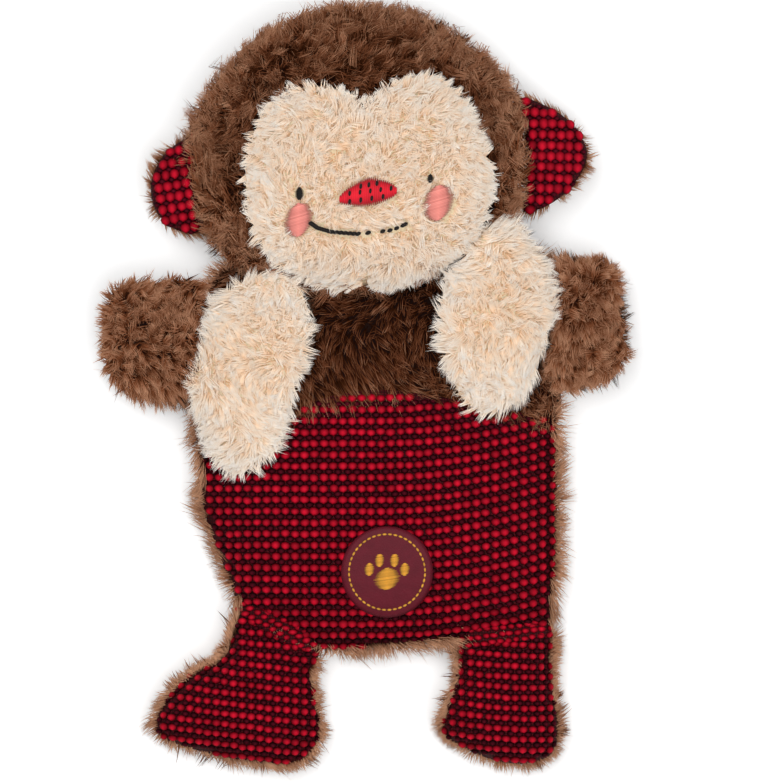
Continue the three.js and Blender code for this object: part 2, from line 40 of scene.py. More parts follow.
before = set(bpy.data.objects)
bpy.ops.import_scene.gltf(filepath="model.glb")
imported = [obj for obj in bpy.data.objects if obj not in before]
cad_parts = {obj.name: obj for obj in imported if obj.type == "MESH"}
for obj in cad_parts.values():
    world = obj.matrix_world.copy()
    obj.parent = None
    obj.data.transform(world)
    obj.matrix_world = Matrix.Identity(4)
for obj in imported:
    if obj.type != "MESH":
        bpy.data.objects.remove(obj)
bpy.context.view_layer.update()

# Lengths are in metres; outlines are pixels of the photograph, which looks straight down
MM = 0.001
PIXEL = 0.42 * MM
PHOTO_SIZE = (780, 781)
PHOTO_ORIGIN = (364.2, 386.4)
FLOOR_GAP = 0.1 * MM
SIDES = ("left", "right")
BAKE_MAP = "OFBake"

OUTLINES = {
    "body": [
        (241, 607), (221, 560), (203, 515), (196, 450), (195, 380), (197, 315), (208, 281),
        (240, 262), (320, 262), (420, 262), (500, 256), (540, 257), (557, 272), (560, 350),
        (558, 450), (558, 550), (554, 600), (548, 630), (506, 635), (462, 641), (390, 648),
        (316, 650), (278, 628),
    ],
    "belly": [
        (241, 609), (228, 580), (215, 546), (203, 510), (199, 464), (199, 436), (250, 420),
        (301, 406), (340, 394), (385, 390), (440, 397), (500, 408), (552, 418), (557, 440),
        (558, 500), (558, 560), (554, 605), (548, 630), (506, 635), (462, 641), (390, 648),
        (316, 650), (278, 629),
    ],
    "chest": [
        (200, 440), (196, 400), (196, 330), (207, 283), (240, 264), (320, 264), (420, 264),
        (500, 258), (540, 259), (556, 274), (559, 350), (557, 425), (500, 413), (440, 402),
        (385, 395), (340, 399), (301, 411), (250, 426),
    ],
    "head": [
        (365, 6), (313, 14), (262, 36), (220, 76), (196, 118), (191, 155), (197, 205),
        (222, 252), (262, 273), (306, 286), (342, 290), (383, 288), (425, 279), (462, 264),
        (494, 240), (518, 206), (526, 160), (518, 102), (492, 64), (450, 34), (410, 14),
    ],
    "face": [
        (362, 99), (342, 86), (315, 81), (286, 86), (258, 110), (243, 145), (238, 182),
        (243, 218), (258, 250), (285, 276), (315, 291), (345, 297), (367, 293), (390, 295),
        (420, 286), (448, 271), (474, 248), (492, 218), (498, 185), (494, 155), (484, 125),
        (466, 95), (442, 75), (412, 72), (385, 84),
    ],
    "ear_left": [
        (200, 133), (184, 138), (163, 155), (151, 180), (153, 205), (167, 224), (185, 232),
        (203, 230), (200, 205), (194, 180), (194, 155),
    ],
    "ear_right": [
        (520, 98), (548, 106), (572, 123), (587, 148), (583, 170), (566, 192), (546, 206),
        (524, 211), (527, 190), (529, 160), (526, 130),
    ],
    "arm_left": [
        (210, 279), (154, 276), (114, 281), (102, 300), (100, 330), (101, 362), (108, 381),
        (127, 396), (154, 403), (182, 402), (210, 396), (210, 340),
    ],
    "arm_right": [
        (548, 262), (581, 257), (606, 255), (618, 268), (625, 310), (629, 350), (625, 372),
        (611, 383), (586, 387), (548, 390), (548, 330),
    ],
    "paw_left": [
        (268, 264), (292, 269), (309, 286), (315, 320), (311, 357), (302, 390), (290, 428),
        (270, 463), (243, 478), (214, 467), (200, 438), (187, 408), (182, 385), (192, 355),
        (200, 325), (210, 298), (238, 275),
    ],
    "paw_right": [
        (492, 215), (515, 218), (535, 240), (554, 266), (561, 300), (556, 338), (542, 376),
        (518, 408), (488, 422), (460, 410), (446, 385), (436, 350), (433, 315), (440, 283),
        (455, 258), (470, 233),
    ],
    "leg_left": [
        (241, 609), (236, 632), (220, 660), (190, 676), (165, 702), (153, 728), (168, 743),
        (215, 757), (265, 766), (300, 764), (320, 738), (315, 700), (313, 672), (316, 652),
        (278, 631),
    ],
    "leg_right": [
        (549, 632), (551, 660), (556, 700), (559, 735), (550, 758), (520, 766), (482, 758),
        (446, 738), (445, 715), (456, 680), (461, 658), (462, 643), (506, 637),
    ],
    "nose": [
        (339, 201), (344, 193), (354, 186), (368, 179), (381, 181), (392, 185), (397, 191),
        (394, 198), (384, 203), (367, 208), (351, 207), (342, 205),
    ],
}
# Millimetres: the seam's height, and how far the front and the back crown are from it
HEIGHTS = {
    "body": (10, 20, 10), "head": (20, 30, 20), "leg_left": (10, 13, 10),
    "leg_right": (10, 13, 10), "ear_left": (20, 3.6, 3), "ear_right": (20, 3.6, 3),
}
FACE_TOP = 57 * MM
# Below this the head is its back panel, and about this the back panels' fringes grow
HEAD_BACK_TOP = 17 * MM
FRINGE_LEVEL = 8 * MM
HIP_LINES = {"left": [(237, 606), (320, 653)], "right": [(458, 644), (553, 632)]}
HIP_LEVEL = 10 * MM
MOUTH_LINE = [(311, 224), (318, 229), (332, 233), (357, 235), (378, 233), (393, 231), (406, 225)]
# Single stitches after the mouth's middle, as shares of its line
MOUTH_DASHES = [0.58, 0.71, 0.79, 0.87, 0.95, 0.98]
CHIN_CREASE = [(369, 272), (366, 284), (366, 297)]
FACE_WHORL = (368, 215)
# Where the fleece is bare for the eyes, cheeks and nose: middle, width and height
CLEARINGS = [
    ((300, 195), 6, 9), ((430, 180), 4, 5), ((300, 221), 25, 29), ((438, 204), 28, 31),
    ((368, 196), 52, 21),
]
# Satin stitches: piece, look, middle, then width, height and thread in millimetres, lean, seed
SATINS = [
    ("eye_left", "black_thread", (300, 195), 3.8, 5.2, 0.6, 0.1, 51),
    ("eye_right", "black_thread", (430, 180), 2.8, 3.6, 0.6, 0.1, 51),
    ("cheek_left", "coral_thread", (299, 221), 12, 13.6, 0.75, 0.3, 52),
    ("cheek_right", "coral_thread", (438, 204), 13, 14.4, 0.75, 0.3, 52),
]
# Rows of black dashes on the nose: the row's left end, right end and number of dashes
NOSE_DASHES = [
    ((361, 188), (377, 185), 3), ((350, 195), (391, 190), 5), ((350, 203), (383, 198), 4),
]
# Area lights: place in metres, power in watts and size in metres
LAMPS = {"key": ((-0.4, 0.45, 1.8), 17.6, 1.2), "fill": ((0.5, -0.55, 1.7), 15.6, 1.4)}
SKY_LIGHT = 0.37


# Sizes and colours that a user would change

def length(text, default):
    return bpy.props.FloatProperty(name=text, description=text, default=default, unit="LENGTH")


def colour(text, default):
    return bpy.props.FloatVectorProperty(
        name=text, description=text, default=default, size=3, min=0, max=1, subtype="COLOR")


class PlushSizes(bpy.types.PropertyGroup):
    fur_length: length("Length of the brown fur", 8.6 * MM)
    fur_width: length("Thickness of a lock of brown fur", 0.42 * MM)
    fleece_length: length("Length of the cream fleece", 5.8 * MM)
    fleece_width: length("Thickness of a lock of cream fleece", 0.42 * MM)
    pile_depth: length("Depth of the backing below the pile's surface", 3.7 * MM)
    nub_pitch: length("Distance between nubs along a row", 4.0 * MM)
    row_pitch: length("Distance between rows of nubs", 4.75 * MM)
    cloth: length("Thickness of the nub cloth", 1.2 * MM)
    hip_roll: length("Radius of the gathered cloth in the hip creases", 7.2 * MM)
    badge_radius: length("Radius of the badge", 19.3 * MM)
    ring_radius: length("Radius of the badge's stitched ring", 16 * MM)
    camera_height: length("Height of the camera over the floor", 3.6)
    focus_height: length("Height over the floor that the photograph's scale holds at", 30 * MM)


class PlushColours(bpy.types.PropertyGroup):
    # The fur's root and middle colours are darkened in part as painted shade deep in the pile
    fur_root: colour("Brown fur at the root", (0.010, 0.002, 0.0005))
    fur_middle: colour("Brown fur halfway up", (0.040, 0.011, 0.0035))
    fur_tip: colour("Brown fur at the tip", (0.255, 0.083, 0.035))
    fur_pale: colour("Tips of the palest brown fur", (0.72, 0.40, 0.24))
    # Lighter colours of the brown fur for the fringes' locks: a painted rim light
    gold_tip: colour("Golden fur at the tip", (0.612, 0.34, 0.204))
    gold_pale: colour("Tips of the palest golden fur", (0.90, 0.50, 0.30))
    # The fleece's root colour is darkened in part as painted shade deep in the pile
    fleece_root: colour("Cream fleece at the root", (0.58, 0.29, 0.13))
    fleece_middle: colour("Cream fleece halfway up", (0.98, 0.68, 0.45))
    fleece_tip: colour("Cream fleece at the tip", (1.0, 0.86, 0.71))
    fleece_pale: colour("Tips of the palest cream fleece", (1.0, 0.97, 0.93))
    nub_red: colour("Red nubs", (0.40, 0.004, 0.017))
    # The nubs' top colours are painted highlights
    nub_red_top: colour("Tops of the red nubs", (0.70, 0.007, 0.02975))
    nub_dark: colour("Dark nubs", (0.042, 0.0015, 0.005))
    nub_dark_top: colour("Tops of the dark nubs", (0.105, 0.00375, 0.0125))
    ground: colour("Cloth between the nubs", (0.055, 0.0015, 0.004))
    badge: colour("Badge", (0.100, 0.006, 0.014))
    yellow: colour("Yellow thread", (0.70, 0.33, 0.035))
    black: colour("Black thread", (0.010, 0.007, 0.006))
    coral: colour("Coral thread", (0.97, 0.31, 0.26))
    nose_red: colour("Red thread of the nose", (0.74, 0.013, 0.030))
    stuffing: colour("Stuffing", (0.90, 0.89, 0.85))
    squeaker: colour("Squeaker", (0.76, 0.74, 0.69))
    squeaker_dark: colour("Darker clouds of the squeaker", (0.66, 0.64, 0.58))


def sizes():
    return bpy.context.scene.plush_sizes


# Node trees

class Wire:
    """A number socket. Arithmetic on it adds Math nodes to its tree."""

    def __init__(self, tree, socket):
        self.tree, self.socket = tree, socket

    def maths(self, operation, other):
        node = self.tree.nodes.new("ShaderNodeMath")
        node.operation = operation
        for plug, value in zip(node.inputs, (self, other)):
            connect(self.tree, plug, value)
        return Wire(self.tree, node.outputs[0])

    def __add__(self, other):
        return self.maths("ADD", other)

    def __mul__(self, other):
        return self.maths("MULTIPLY", other)

    __radd__, __rmul__ = __add__, __mul__


def connect(tree, plug, value):
    if isinstance(value, Wire):
        tree.links.new(value.socket, plug)
    elif plug.type == "RGBA":
        plug.default_value = (*value, 1)
    else:
        plug.default_value = value


class Finish:
    """A material under construction, with one Principled shader."""

    def __init__(self, name, roughness, gloss=0.15):
        self.material = bpy.data.materials.new(name)
        self.material.use_nodes = True
        self.tree = self.material.node_tree
        self.set("Roughness", roughness)
        self.set("Specular IOR Level", gloss)

    def set(self, name, value):
        connect(self.tree, self.tree.nodes["Principled BSDF"].inputs[name], value)

    def node(self, kind, settings=(), values=(), output=0):
        """Adds a node: its settings first, then the values or links of its sockets."""
        node = self.tree.nodes.new(kind)
        for name, value in dict(settings).items():
            if name == "stops":
                elements = node.color_ramp.elements
                while len(elements) < len(value):
                    elements.new(0.5)
                for element, (place, shade) in zip(elements, value):
                    element.position, element.color = place, (*shade, 1)
            else:
                setattr(node, name, value)
        for name, value in dict(values).items():
            connect(self.tree, node.inputs[name], value)
        return Wire(self.tree, node.outputs[output])

    def map_axes(self):
        """The bake map's two axes: a copy's tint, and a point's level on it."""
        place = self.node("ShaderNodeUVMap", {"uv_map": BAKE_MAP})
        split = self.node("ShaderNodeSeparateXYZ", (), {"Vector": place})
        return split, Wire(self.tree, split.socket.node.outputs[1])

    def texture(self, kind, scale, settings=(), **values):
        """A texture on the piece's own coordinates."""
        place = self.node("ShaderNodeTexCoord", output=3)
        return self.node(f"ShaderNodeTex{kind}", settings, {
            "Vector": place, "Scale": scale, **values})

    def mix(self, amount, first, second):
        return self.node("ShaderNodeMix", {"data_type": "RGBA"}, {
            0: amount, 6: first, 7: second}, output=2)

    def colour_ramp(self, level, *stops):
        return self.node("ShaderNodeValToRGB", {"stops": stops}, {"Fac": level})

    def bump(self, height, strength, distance):
        self.set("Normal", self.node("ShaderNodeBump", (), {
            "Height": height, "Strength": strength, "Distance": distance}))


def tinted(values, light):
    return tuple(min(1.0, value * light) for value in values)


def pile_finish(name, root, middle, tip, pale):
    """Fur: dark at the root, partly as painted shade deep in the pile, and light at the tip.
    A lock's tint moves it from the darker set of shades to the paler one."""
    finish = Finish(name, 0.85, gloss=0.0)
    tint, along = finish.map_axes()
    dark = finish.colour_ramp(along, (0.0, root), (0.5, middle), (1.0, tip))
    light = finish.colour_ramp(along, (0.0, middle), (0.5, tip), (1.0, pale))
    finish.set("Base Color", finish.mix(tint, dark, light))
    return finish.material


def cloud_finish(name, shade, roughness, scale, detail, dark, light, strength, depth):
    """Knitted backing or loose fibre: a cloud of darker and lighter spots, in relief."""
    finish = Finish(name, roughness)
    cloud = finish.texture("Noise", scale, Detail=detail)
    finish.set("Base Color", finish.mix(cloud, tinted(shade, dark), tinted(shade, light)))
    finish.bump(cloud, strength, depth)
    return finish.material


def thread_finish(name, shade, roughness=0.5):
    """Embroidery thread: each stitch has its own tint, and painted shade where it dips into the
    cloth.
    """
    finish = Finish(name, roughness)
    finish.set("Sheen Weight", 0.1)
    tint, along = finish.map_axes()
    stitch = finish.mix(tint, tinted(shade, 0.75), tinted(shade, 1.2))
    # Painted shade towards the stitch's ends, where along is low
    finish.set("Base Color", finish.mix(along, tinted(shade, 0.35), stitch))
    return finish.material


def nub_finish(name, shade, top):
    """A raised nub: painted shade at its foot and a painted highlight on top. Its tint sets how
    bright it is.
    """
    finish = Finish(name, 0.6, gloss=0.04)
    tint, along = finish.map_axes()
    # By level: painted shade at the foot, rising to a painted highlight at the top
    dull, bright = [
        finish.colour_ramp(along, (0.0, tinted(shade, 0.12 * light)),
                           (0.25, tinted(shade, 0.35 * light)),
                           (0.7, tinted(shade, 0.85 * light)), (1.0, tinted(top, light)))
        for light in (0.5, 1.1)
    ]
    finish.set("Base Color", finish.mix(tint, dull, bright))
    return finish.material


def ground_finish(name, shade):
    """The flat dark weave between the nubs, with a fine cross of threads."""
    finish = Finish(name, 0.8)
    across, down = [
        finish.texture("Wave", 260, {"bands_direction": axis}, Distortion=1) for axis in ("X", "Y")]
    weave = across * down
    finish.set("Base Color", finish.mix(weave, tinted(shade, 0.4), tinted(shade, 1.8)))
    finish.bump(weave, 0.5, 0.3 * MM)
    return finish.material


def leather_finish(name, shade):
    """Thin imitation leather with a fine pebble."""
    finish = Finish(name, 0.55)
    cells = finish.texture("Voronoi", 1300, {"feature": "F1"})
    cloud = finish.texture("Noise", 240, Detail=3)
    finish.set("Base Color", finish.mix(cloud, tinted(shade, 0.8), tinted(shade, 1.35)))
    finish.bump(cells + cloud * 0.5, 0.35, 0.25 * MM)
    return finish.material


def plastic_finish(name, shade, dark):
    """The squeaker's soft moulded plastic."""
    finish = Finish(name, 0.4)
    finish.set("Base Color", finish.mix(finish.texture("Noise", 60), dark, shade))
    return finish.material


def paper_finish(name):
    """The white floor: only the camera sees its glow, so that its far parts stay white."""
    finish = Finish(name, 0.9)
    finish.set("Base Color", (0.92, 0.92, 0.92))
    finish.set("Emission Color", finish.mix(
        finish.node("ShaderNodeLightPath"), (0, 0, 0), (1, 1, 1)))
    finish.set("Emission Strength", 0.2)
    return finish.material


# Each look: the slot that it stands for, the function that makes it, and that function's
# values, where a word is the name of a colour above
LOOKS = {
    "brown_pile": ("brown_fur", pile_finish, "fur_root", "fur_middle", "fur_tip", "fur_pale"),
    # A lighter copy of the brown fur for fringes and the ears' backs, a painted rim light
    "golden_pile": ("brown_fur", pile_finish, "fur_middle", "fur_tip", "gold_tip", "gold_pale"),
    "cream_pile": ("cream_fleece", pile_finish, "fleece_root", "fleece_middle", "fleece_tip",
                   "fleece_pale"),
    # The brown backing takes the fur's root colour, with its painted shade
    "brown_backing": ("brown_fur", cloud_finish, "fur_root", 0.9, 900, 3, 0.6, 1.3, 0.6, 0.4 * MM),
    "cream_backing": ("cream_fleece", cloud_finish, "fleece_middle", 0.9, 900, 3, 0.6, 1.3, 0.6,
                      0.4 * MM),
    "cloth_ground": ("woven_nub", ground_finish, "ground"),
    "red_nub": ("woven_nub", nub_finish, "nub_red", "nub_red_top"),
    "dark_nub": ("woven_nub", nub_finish, "nub_dark", "nub_dark_top"),
    "badge_leather": ("badge_leather", leather_finish, "badge"),
    "yellow_thread": ("yellow_thread", thread_finish, "yellow"),
    "black_thread": ("black_thread", thread_finish, "black", 0.4),
    "coral_thread": ("coral_thread", thread_finish, "coral"),
    "nose_thread": ("red_thread", thread_finish, "nose_red"),
    "stuffing_fibre": ("stuffing", cloud_finish, "stuffing", 0.95, 180, 6, 0.75, 1, 0.7, 1.5 * MM),
    "squeaker_plastic": ("squeaker", plastic_finish, "squeaker", "squeaker_dark"),
    "paper": (None, paper_finish),
}
MATERIALS = {}


def material_of(look):
    """A look's material, made the first time that it is asked for."""
    if look not in MATERIALS:
        _, maker, *values = LOOKS[look]
        colours = bpy.context.scene.plush_colours
        MATERIALS[look] = maker(look, *(
            getattr(colours, value) if isinstance(value, str) else value for value in values))
    return MATERIALS[look]


# Surfaces

def from_photo(pixels):
    return (np.asarray(pixels, float) - PHOTO_ORIGIN) * (PIXEL, -PIXEL)


def turns(number):
    return np.linspace(0, 2 * math.pi, number, endpoint=False)


def smooth_loop(points, steps=14):
    """A closed Catmull-Rom curve through the points."""
    t = np.linspace(0, 1, steps, endpoint=False)[None, :, None]
    before, here = np.roll(points, 1, 0)[:, None], points[:, None]
    after, beyond = np.roll(points, -1, 0)[:, None], np.roll(points, -2, 0)[:, None]
    curve = 0.5 * (
        2 * here + (after - before) * t
        + (2 * before - 5 * here + 4 * after - beyond) * t ** 2
        + (3 * here - before - 3 * after + beyond) * t ** 3
    )
    return curve.reshape(-1, 2)


def swell(share, power=2.6, edge=0.6):
    """Height of a stuffed form as a share of its crown: (1 - share^power)^edge."""
    return (1 - np.clip(share, 0, 1) ** power) ** edge


def unit(vectors):
    return vectors / np.maximum(np.linalg.norm(vectors, axis=-1, keepdims=True), 1e-12)


def outward(roots, middle):
    """Directions away from a point, level with the floor."""
    away = roots - np.append(middle, 0)[None]
    away[:, 2] = 0
    return unit(away)


class Form:
    """A stuffed form about a middle: the rim's radius is a function of the turn, and the
    height swells from the seam at the rim to the crown in the middle, front and back."""

    def __init__(self, outline, heights=None, grow=0.0, rise=0.0):
        curve = smooth_loop(from_photo(OUTLINES[outline]))
        seam, front, back = [value * MM for value in heights or HEIGHTS.get(outline, (0, 0, 0))]
        self.middle = (curve.min(0) + curve.max(0)) / 2
        away = curve - self.middle
        angles = np.arctan2(away[:, 1], away[:, 0])
        order = np.argsort(angles)
        self.angles, self.radii = angles[order], np.hypot(*away.T)[order] + grow
        self.width = np.ptp(curve[:, 0])
        self.seam, self.front, self.back, self.rise = seam, front + grow, back + grow, rise

    def radius(self, turn):
        return np.interp(turn, self.angles, self.radii, period=2 * math.pi)

    def spot(self, turn, share):
        reach = self.radius(turn) * share
        return self.middle[0] + reach * np.cos(turn), self.middle[1] + reach * np.sin(turn)

    def share(self, x, y):
        """A place's distance from the middle as a share of the rim's distance."""
        away_x, away_y = x - self.middle[0], y - self.middle[1]
        return np.hypot(away_x, away_y) / self.radius(np.arctan2(away_y, away_x))

    def out(self, points):
        return self.share(points[..., 0], points[..., 1])

    def tint_with_painted_rim_light(self, mean, more, power):
        """A tint for locks that grows towards the rim, a painted rim light: mean + more *
        share^power.
        """
        return lambda roots: mean + more * self.out(roots) ** power

    def height(self, x, y, side=1):
        crown = self.front if side > 0 else -self.back
        seam = self.seam + self.rise * (x - self.middle[0]) / self.width
        return seam + crown * swell(self.share(x, y))

    def shell(self, around=128, rings=18):
        """The whole form as a grid: back crown, out to the rim, and in to the front crown."""
        level = np.linspace(-1, 1, 2 * rings + 1)[None, :]
        x, y = self.spot(turns(around)[:, None], np.sqrt(1 - level ** 2))
        z = np.where(level < 0, self.height(x, y, -1), self.height(x, y))
        return Patch(np.stack((x, y, np.maximum(z, FLOOR_GAP)), -1))


def drape(form, height):
    """A panel: the form's outline filled with rings, each point lifted to a height that is
    a function of its place."""
    x, y = form.spot(turns(128)[:, None], np.linspace(1, 0, 16)[None, :])
    return Patch(np.stack((x, y, height(x, y)), -1))


class Patch:
    """A grid of points: the first axis goes round and closes, the second runs from the
    rim or the back crown to the front crown."""

    def __init__(self, points):
        self.points = points
        around = np.roll(points, -1, 0) - np.roll(points, 1, 0)
        self.normals = unit(np.cross(around, np.gradient(points, axis=1)))
        # A crown's normal is the mean of the ring beside it
        for end, beside in ((0, 1), (-1, -2)):
            if np.ptp(points[:, end], axis=0).max() < 1e-9:
                self.normals[:, end] = unit(self.normals[:, beside].mean(0))

    def scatter(self, number, rng, weight=None):
        """Random places on the grid, as even as its cells' areas and a weight allow."""
        p = self.points
        q = np.roll(p, -1, 0)
        area = np.linalg.norm(np.cross(q[:, 1:] - p[:, :-1], p[:, 1:] - q[:, :-1]), axis=-1)
        if weight is not None:
            area = area * weight((p[:, :-1] + q[:, 1:]) / 2, self.normals[:, :-1])
        chance = np.cumsum(area.ravel())
        cell = np.searchsorted(chance, rng.random(number) * chance[-1])
        row, column = np.unravel_index(cell, area.shape)
        s, t = rng.random((2, number, 1))
        after = (row + 1) % len(p)

        def blend(grid):
            low = grid[row, column] * (1 - s) + grid[after, column] * s
            high = grid[row, column + 1] * (1 - s) + grid[after, column + 1] * s
            return low * (1 - t) + high * t

        return blend(p), unit(blend(self.normals))


# Meshes and objects

def make_object(name, look, points, faces, smooth=True, bake=None, normals=None):
    """A mesh from arrays: points, triangles or quads, and for each point its place on the
    bake map and its normal."""
    mesh = bpy.data.meshes.new(name)
    faces = np.asarray(faces, np.int32)
    mesh.vertices.add(len(points))
    mesh.vertices.foreach_set("co", np.asarray(points, np.float32).ravel())
    mesh.loops.add(faces.size)
    mesh.loops.foreach_set("vertex_index", faces.ravel())
    mesh.polygons.add(len(faces))
    starts = np.arange(0, faces.size, faces.shape[1], dtype=np.int32)
    mesh.polygons.foreach_set("loop_start", starts)
    mesh.polygons.foreach_set("use_smooth", np.full(len(faces), smooth))
    if bake is not None:
        layer = mesh.uv_layers.new(name=BAKE_MAP)
        layer.uv.foreach_set("vector", np.asarray(bake, np.float32)[faces.ravel()].ravel())
    mesh.update(calc_edges=True)
    if normals is not None:
        mesh.normals_split_custom_set_from_vertices(normals)
    mesh.materials.append(material_of(look))
    obj = bpy.data.objects.new(name, mesh)
    bpy.context.scene.collection.objects.link(obj)
    return obj


def piece(name, body, look, points, faces, nodes=(), fill=None, **more):
    """A mesh that rides a body, and stands for the solids that nodes names, which it hides."""
    obj = make_object(name, look, points, faces, **more)
    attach(obj, body)
    if nodes:
        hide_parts(*nodes)


def copies(name, body, look, solids, faces, bake, nodes=(), normals=None):
    """One piece from many solids that share their faces: an array of each one's points."""
    number, count = solids.shape[:2]
    faces = np.arange(number)[:, None, None] * count + faces[None]
    piece(name, body, look, solids.reshape(-1, 3), faces.reshape(-1, 3), nodes,
          bake=bake, normals=normals)


def bake_places(tint, level, nudge):
    """Places on the bake map for copies' points: across by the copy's tint and up by the
    point's level, nudged apart so that no face is flat there."""
    level = np.broadcast_to(level + nudge, (len(tint), nudge.size))
    return np.stack((tint + nudge, level), -1).reshape(-1, 2)


def ripple(number):
    return 0.012 * (np.arange(number) % 3)


def stack_faces(rings, sides, pointed=True):
    """Triangles of a stack of rings: its walls, a point or a cap at the end, and a cap at
    the start."""
    k = np.arange(sides)
    after = (k + 1) % sides
    faces = []
    for ring in range(0, (rings - 1) * sides, sides):
        a, b = k + ring, after + ring
        faces += [(a, b, b + sides), (a, b + sides, a + sides)]
    last = (rings - 1) * sides
    if pointed:
        faces.append((k + last, after + last, 0 * k + last + sides))
    else:
        faces.append((0 * k[2:] + last, last + k[1:-1], last + k[2:]))
    faces.append((0 * k[2:], k[2:], k[1:-1]))
    return np.concatenate([np.stack(face, -1) for face in faces])


def welded_grid(grid):
    """A closed grid's points and triangles, with points that coincide merged and faces that
    collapse dropped."""
    rows, columns = grid.shape[:2]
    row, column = np.meshgrid(np.arange(rows), np.arange(columns - 1), indexing="ij")
    a, b = row * columns + column, (row + 1) % rows * columns + column
    faces = np.concatenate([
        np.stack(face, -1).reshape(-1, 3) for face in ((a, b, b + 1), (a, b + 1, a + 1))])
    points = grid.reshape(-1, 3)
    keys = np.round(points / (0.001 * MM)).astype(np.int64)
    _, first, same = np.unique(keys, axis=0, return_index=True, return_inverse=True)
    faces = same.ravel()[faces]
    whole = (faces != np.roll(faces, 1, 1)).all(1)
    return points[first], faces[whole]


def closed_shell(name, body, look, patch, *nodes, fill=None):
    """A closed form's mesh, with each crown welded to one point."""
    piece(name, body, look, *welded_grid(patch.points), nodes, fill)


def thick_panel(name, body, look, patch, thickness, *nodes, fill=None):
    """A panel with a wall: its outer face, a turned rim, and an inner face below it."""
    inner = patch.points - patch.normals * thickness
    inner[..., 2] = np.maximum(inner[..., 2], FLOOR_GAP)
    wall = np.concatenate((inner[:, ::-1], patch.points), 1)
    piece(name, body, look, *welded_grid(wall), nodes, fill)


# Fur

def tufts(roots, width, rng):
    """Numbers the tuft of each root: cells of a grid bent by slow waves, with frayed sides."""
    warp = sum(
        np.sin(roots[:, [1, 2, 0]] * pitch / width + shift) / pitch
        for pitch, shift in ((0.9, 0.4), (1.7, 2.1))
    )
    fray = 0.2 * rng.normal(size=roots.shape)
    cells = np.floor(roots / width + 0.5 * warp + fray).astype(np.int64)
    _, tuft = np.unique(cells, axis=0, return_inverse=True)
    return tuft.ravel()


def per_tuft(tuft, rng, width):
    return rng.normal(size=(tuft.max() + 1, width))[tuft]


def drift(roots, size, seed):
    """A slow field of directions: five sine waves that cross the piece, on each axis."""
    rng = np.random.default_rng(seed)
    waves = rng.normal(size=(3, 5, 3)) * 2 / size
    phases = rng.random((3, 5)) * 2 * math.pi
    return np.sin(np.einsum("kwa,na->nkw", waves, roots) + phases).sum(-1) / 1.6


def lock_lines(roots, normals, comb, length, rng, tuft, lift=0.5, scatter=0.5,
               stray=0.18, curl=0.1, wave=0.0, pull=0.6, steps=3):
    """Centre lines of the locks. A lock leaves its root between the normal and the way it
    is combed, leans with its tuft, bends over towards its tip, waves by itself and with its
    tuft, and its tip draws towards the tips of its tuft."""
    number = len(roots)
    lean = comb + scatter * per_tuft(tuft, rng, 3) + stray * rng.normal(size=(number, 3))
    lean -= (lean * normals).sum(-1, keepdims=True) * normals
    heading = unit(lift * normals + lean)
    reach = length * (0.75 + 0.5 * rng.random((number, 1))) * (
        1 + 0.15 * per_tuft(tuft, rng, 1))
    t = np.linspace(0, 1, steps)[None, :, None]
    bend = 0.3 * lean[:, None] * t ** 2
    swing = np.sin(2 * math.pi * t) * (
        curl * rng.normal(size=(number, 1, 3)) + wave * per_tuft(tuft, rng, 3)[:, None])
    lines = roots[:, None] + reach[:, None] * (t * heading[:, None] + bend + swing)
    members = np.bincount(tuft)[:, None]
    tips = np.stack([np.bincount(tuft, lines[:, -1, k]) for k in range(3)], -1) / members
    lines += pull * t ** 2 * (tips[tuft] - lines[:, -1])[:, None]
    lines[..., 2] = np.maximum(lines[..., 2], FLOOR_GAP + 0.3 * MM)
    return lines


def locks(name, body, look, lines, normals, tuft, width, rng, soft, pale):
    """Closed three-sided locks, wide across the pile and thin along its normal, that taper
    to a point: radius = width / 2 * (1 - 0.75 * along^1.6). Where soft is more than 0, the
    locks' normals lean by that much towards the pile's own and upwards, or downwards on the
    underside, as light that scatters in fur evens out its shade. Locks near the piece's
    edge are paler, as light comes through them."""
    number, steps = lines.shape[:2]
    heading = unit(lines[:, -1] - lines[:, 0])
    facing = (normals if soft else 0) + np.array([[0.0, 0.0, 1.0]])
    across = unit(np.cross(facing, heading) + 0.3 * rng.normal(size=(number, 3)))
    above = unit(np.cross(heading, across))
    angles = math.pi / 2 + np.arange(3) * 2 * math.pi / 3
    along = np.linspace(0, 1, steps)
    radii = 0.5 * width * (1 - along[:-1] ** 1.6 * 0.75)
    radii = radii[None, :, None, None] * (0.75 + 0.5 * rng.random((number, 1, 1, 1)))
    spokes = (np.cos(angles)[None, None, :, None] * across[:, None, None]
              + 0.5 * np.sin(angles)[None, None, :, None] * above[:, None, None])
    rings = (lines[:, :-1, None] + radii * spokes).reshape(number, -1, 3)
    shading = None
    if soft:
        shading = np.concatenate((np.tile(spokes[:, 0], (1, steps - 1, 1)), 0 * lines[:, -1:]), 1)
        outer = np.clip(3 * normals[:, 2:] + 1, -1, 1) * (0, 0, 1)
        shading = unit(shading + soft * (normals + 0.4 * above + outer)[:, None]).reshape(-1, 3)
    # edge: a painted rim light, a paler tint where the pile's normal lies level
    edge = (1 - np.clip(np.abs(normals[:, 2:]), 0, 1)) ** 2
    tint = pale + 0.6 * edge + 0.3 * per_tuft(tuft, rng, 1) + 0.2 * rng.normal(size=(number, 1))
    # level runs from root to tip, so the root gets pile_finish's painted shade
    level = 0.97 * np.append(np.repeat(along[:-1], 3), 1)
    nudge = 0.01 * np.append(np.tile(np.arange(3), steps - 1), 1)
    copies(name, body, look, np.concatenate((rings, lines[:, -1:]), 1), stack_faces(steps - 1, 3),
           bake_places(np.clip(tint, 0.02, 0.95), level, nudge), normals=shading)


